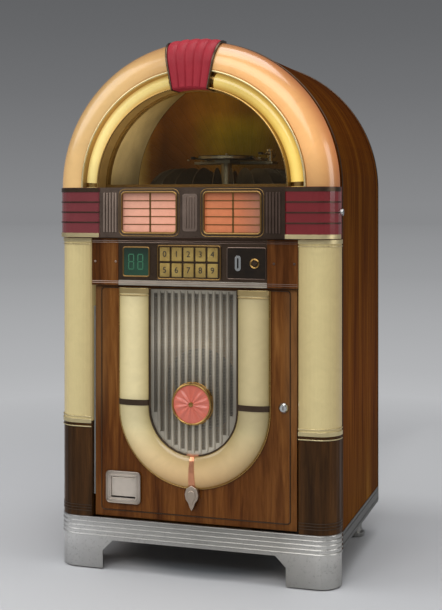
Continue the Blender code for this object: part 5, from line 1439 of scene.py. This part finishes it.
pivot = [(0.0105, 1.2165), (0.0120, 1.2180), (0.0120, 1.2225), (0.0100, 1.2245)]
shape = solid(add_drum, pivot, "Z", (0.117, 0.100, 0), 32)
weight = [(0.0095, 0.100), (0.0105, 0.1015), (0.0105, 0.1185), (0.0095, 0.1200)]
add_drum(shape, weight, "Y", (0.117, 0.012, 1.2071), 28)
trim("tonearm_weight", shape, CHROME, "tonearm")
shape = solid(add_box, (0.1115, -0.0190, 1.2030), (0.1225, 0.0040, 1.2095))
add_box(shape, (0.1225, -0.0170, 1.2060), (0.1275, -0.0145, 1.2075))
piece("tonearm_shell", shape, BLACK, "tonearm", bevel=0.0010)

shape = bmesh.new()
for left, right in both_sides(0.0905, 0.0985):
    add_box(shape, (left, -0.0320, 1.1893), (right, -0.0140, 1.1977))
piece("gripper_pads", shape, RUBBER, "gripper_arm", bevel=0.0012)

MOTOR = (-0.1558, 0.1758, 0)
case = [(0.0225, 0.8780), (0.0255, 0.8810), (0.0268, 0.8850), (0.0268, 0.8960), (0.0255, 0.8975)]
shape = solid(add_drum, case, "Z", MOTOR, 36)
for x, y in circle(MOTOR, 0.0262, 8):
    add_box(shape, (x - 0.0012, y - 0.0012, 0.9000), (x + 0.0012, y + 0.0012, 0.9330))
piece("motor_cover", shape, BLACK, "cabinet")


# Inside the lower case

roll = arc((0.1080, -0.2020), 0.0085, math.pi, TURN, 10) + [(0.1180, -0.2005), (0.0980, -0.2005)]
shape = solid(add_turned, roll, "Y", (0, 0, SPEAKER_Z), 64)
cap = [(0, -0.1720), (0.0120, -0.1705), (0.0230, -0.1650), (0.0300, -0.1560), (0.0300, -0.1530),
       (0, -0.1530)]
add_turned(shape, cap, "Y", (0, 0, SPEAKER_Z), 48)
piece("speaker_roll", shape, RUBBER, "cabinet")
shape = bmesh.new()
for x, z in arc((0, SPEAKER_Z), 0.1245, math.pi / 8, math.pi / 8 + TURN, 8)[:-1]:
    add_stud(shape, x, z, (0.0035, 0.0045), (-0.2065, -0.2060, -0.2036), 6)
piece("speaker_bolts", shape, STEEL, "cabinet")

shape = bmesh.new()
for x, y, wide, deep, tall in ((-0.285, 0.060, 0.070, 0.075, 0.060),
                               (-0.195, 0.060, 0.055, 0.060, 0.048)):
    left, right = x - wide / 2, x + wide / 2
    add_box(shape, (left, y - deep / 2, AMPLIFIER_Z), (right, y + deep / 2, AMPLIFIER_Z + tall))
    for sheet in range(-3, 4):
        middle = y + sheet * deep / 9
        add_box(shape, (left - 0.0008, middle - 0.0010, 0.2300),
                (right + 0.0008, middle + 0.0010, 0.2275 + tall))
piece("amplifier_transformers", shape, BLACK, "cabinet", bevel=0.0014)
shape = bmesh.new()
can = [(0.0130, AMPLIFIER_Z), (0.0135, 0.2300), (0.0135, 0.2680), (0.0125, 0.2700)]
for x, y in ((-0.130, 0.050), (-0.096, 0.050), (-0.130, 0.086), (-0.096, 0.086)):
    add_drum(shape, can, "Z", (x, y, 0), 28)
piece("amplifier_capacitors", shape, STEEL, "cabinet")
shape = bmesh.new()
for fin in range(12):
    x = -0.310 + fin * 0.0125
    add_box(shape, (x, 0.120, AMPLIFIER_Z), (x + 0.0025, 0.192, 0.2520))
piece("amplifier_fins", shape, BLACK, "cabinet", bevel=0.0004)

path = [(0.207, -0.2012), (0.207, -0.2050), (0.210, -0.2074), (0.250, -0.2074), (0.253, -0.2050),
        (0.253, -0.2012)]
trim("cash_box_handle", solid(add_tube, [Vector((x, y, 0.1850)) for x, y in path], 0.0018, (0, 0, 1), 10),
     CHROME, "cash_box")
shape = solid(add_bead, rounded(0.172, 0.288, 0.120, 0.2165, 0.004, 3), -0.2003, 0.0012, 6)
add_stud(shape, 0.230, 0.150, (0.0070, 0.0078), (-0.2032, -0.2026, -0.2004), 28)
piece("cash_box_trim", shape, STEEL, "cash_box")

shape = bmesh.new()
boss = [(0, -0.1396), (0.0050, -0.1396), (0.0055, -0.1375), (0, -0.1370)]
for x in (0.120, 0.160, 0.199):
    add_turned(shape, boss, "Y", (x, 0, 0.910), 20)
add_box(shape, (0.110, -0.1396, 0.812), (0.170, -0.1372, 0.895))
add_box(shape, (0.178, -0.1396, 0.800), (0.208, -0.1362, 0.880))
piece("acceptor_plates", shape, STEEL, "cabinet", bevel=0.0008)


# Rear door

shape = bmesh.new()
for base in (0.260, 1.180):
    for row in range(6):
        z = base + row * 0.026
        hood = [(REAR_Y, z + 0.0045), (0.3270, z + 0.0030), (0.3286, z - 0.0020), (0.3278, z - 0.0040),
                (0.3262, z - 0.0038), (0.3264, z - 0.0010), (REAR_Y, z + 0.0020)]
        add_prism(shape, "X", [hood], -0.113, 0.113)
piece("rear_louvres", shape, DARK_METAL, "rear_door")
screws = arc((0, ARCH_Z), SCREW_RING, math.pi / 18, math.pi * 17 / 18, 8)
screws += [(x, z) for x in (-SCREW_RING, SCREW_RING) for z in (0.125, 0.300, 0.550, 0.800, 1.020)]
shape = bmesh.new()
for x, z in screws:
    add_stud(shape, x, z, (0.0040, 0.0055), (0.3262, 0.3257, REAR_Y), 20)
piece("rear_screws", shape, STEEL, "rear_door")
lock = [(0.0085, 0.3300), (0.0095, 0.3285), (0.0095, 0.3262), (0.0160, 0.3255), (0.0165, REAR_Y)]
shape = solid(add_drum, lock, "Y", (0.345, 0, 0.700), 36)
add_box(shape, (0.3437, 0.3300, 0.6950), (0.3463, 0.3306, 0.7050))
trim("rear_lock", shape, CHROME, "rear_door")
shape = solid(add_plate, -0.075, 0.075, 0.560, 0.640, 0.006, REAR_Y, 0.3250, 4)
piece("rear_blank_plate", shape, ALLOY, "rear_door", bevel=0.0003)


# Stage, camera and light

def floor_material():
    """A pale sweep that glows far off, as in a studio, with painted light behind the right side, a
    painted shadow under the case and painted shade towards the right.
    """
    made = Finish("studio_floor", 0.75)
    x, y, _ = made.axes()
    away = distance(x, y)
    # Painted shade towards the right, and below it a painted shadow under the case.
    side = made.ramp(x * 0.4 + 0.5, ((0.2, "b8b9bb"), (0.45, "b5b6b8"), (0.62, "b4b5b7"),
                                     (0.76, "b0b1b3"), (0.9, "aeafb1")))
    under = made.ramp(away * 2.0, ((0.46, "b8bfc4"), (0.64, "ffffff")))
    made.colour(made.times(side, made.cloud(1.7, 0.985, 1.0, 3.0), under))
    far = made.ramp(away / FLOOR_RADIUS, (
        (0.033, "c0c1c3"), (0.067, "b2b3b5"), (0.10, "abacae"), (0.15, "a3a4a6"),
        (0.233, "999a9c"), (0.37, "939496"), (0.667, "8d8e90"), (1.0, "898a8c")))
    glowing = made.filled(made.node("ShaderNodeEmission"), 0, far)
    # Painted light: the floor behind the right side glows.
    behind = rising(y, 2.8, 0.5) * rising(x, 3.0, 0.0)
    share = made.math("SMOOTH_MAX", away * 0.6 - 0.80, 0.0, 0.05)
    share = made.math("SMOOTH_MAX", share, behind * 0.58, 0.05)
    return made.blended(share, made.shader.outputs[0], glowing)


shape = bmesh.new()
shape.faces.new([shape.verts.new((x, y, 0.0)) for x, y in circle((0, 0), FLOOR_RADIUS, 96)])
ground = mesh_item("studio_floor", shape, floor_material())
ground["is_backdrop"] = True

world = bpy.data.worlds.new("studio")
bpy.context.scene.world = world
world.use_nodes = True
world.node_tree.nodes.clear()
sky = Nodes(world.node_tree, "Generated")
height = sky.axes()[2]
seen = sky.ramp(height, ((0.0, "88898b"), (0.045, "7d7e80"), (0.095, "707173"), (0.145, "666769"),
                         (0.19, "5f6062"), (1.0, "55565a")))
ambient = sky.ramp(height, ((0.0, "505152"), (0.15, "9c9da0"), (0.45, "eeeff2")))
rays = sky.node("ShaderNodeLightPath").outputs
direct = sky.math("MAXIMUM", rays["Is Camera Ray"], rays["Is Transmission Ray"])
sky.blend(most(direct, rays["Is Glossy Ray"]),
          sky.filled(sky.node("ShaderNodeBackground"), 0, ambient, 0.40),
          sky.filled(sky.node("ShaderNodeBackground"), 0, seen), sky.node("ShaderNodeOutputWorld"))


def softbox(name, where, target, breadth, watts):
    data = bpy.data.lights.new(name, "AREA")
    data.shape = "RECTANGLE"
    data.size, data.size_y = breadth
    data.energy = watts
    item = linked(name, data)
    item.location = where
    item.rotation_euler = (Vector(target) - Vector(where)).to_track_quat("-Z", "Y").to_euler()


softbox("key_light", (-3.1, -1.8, 3.1), (0, 0, 0.7), (2.8, 2.4), 58)
softbox("front_light", (0.2, -3.7, 3.4), (0, 0, 0.7), (4.0, 2.4), 112)
softbox("top_light", (0.3, -0.4, 4.2), (0.1, -0.1, 0.4), (2.6, 2.0), 86)
softbox("side_light", (3.4, -0.4, 1.8), (0, 0, 0.8), (1.4, 1.4), 24)

camera_data = bpy.data.cameras.new("camera")
camera = linked("camera", camera_data)
camera.location = (1.08, -3.42, 1.05)
camera.rotation_euler = (math.radians(90), 0, math.radians(17.7))
camera_data.sensor_width = 36
camera_data.lens = 69.2
camera_data.shift_y = -0.164
bpy.context.scene.camera = camera

bpy.context.scene.view_settings.view_transform = "Standard"

low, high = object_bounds()
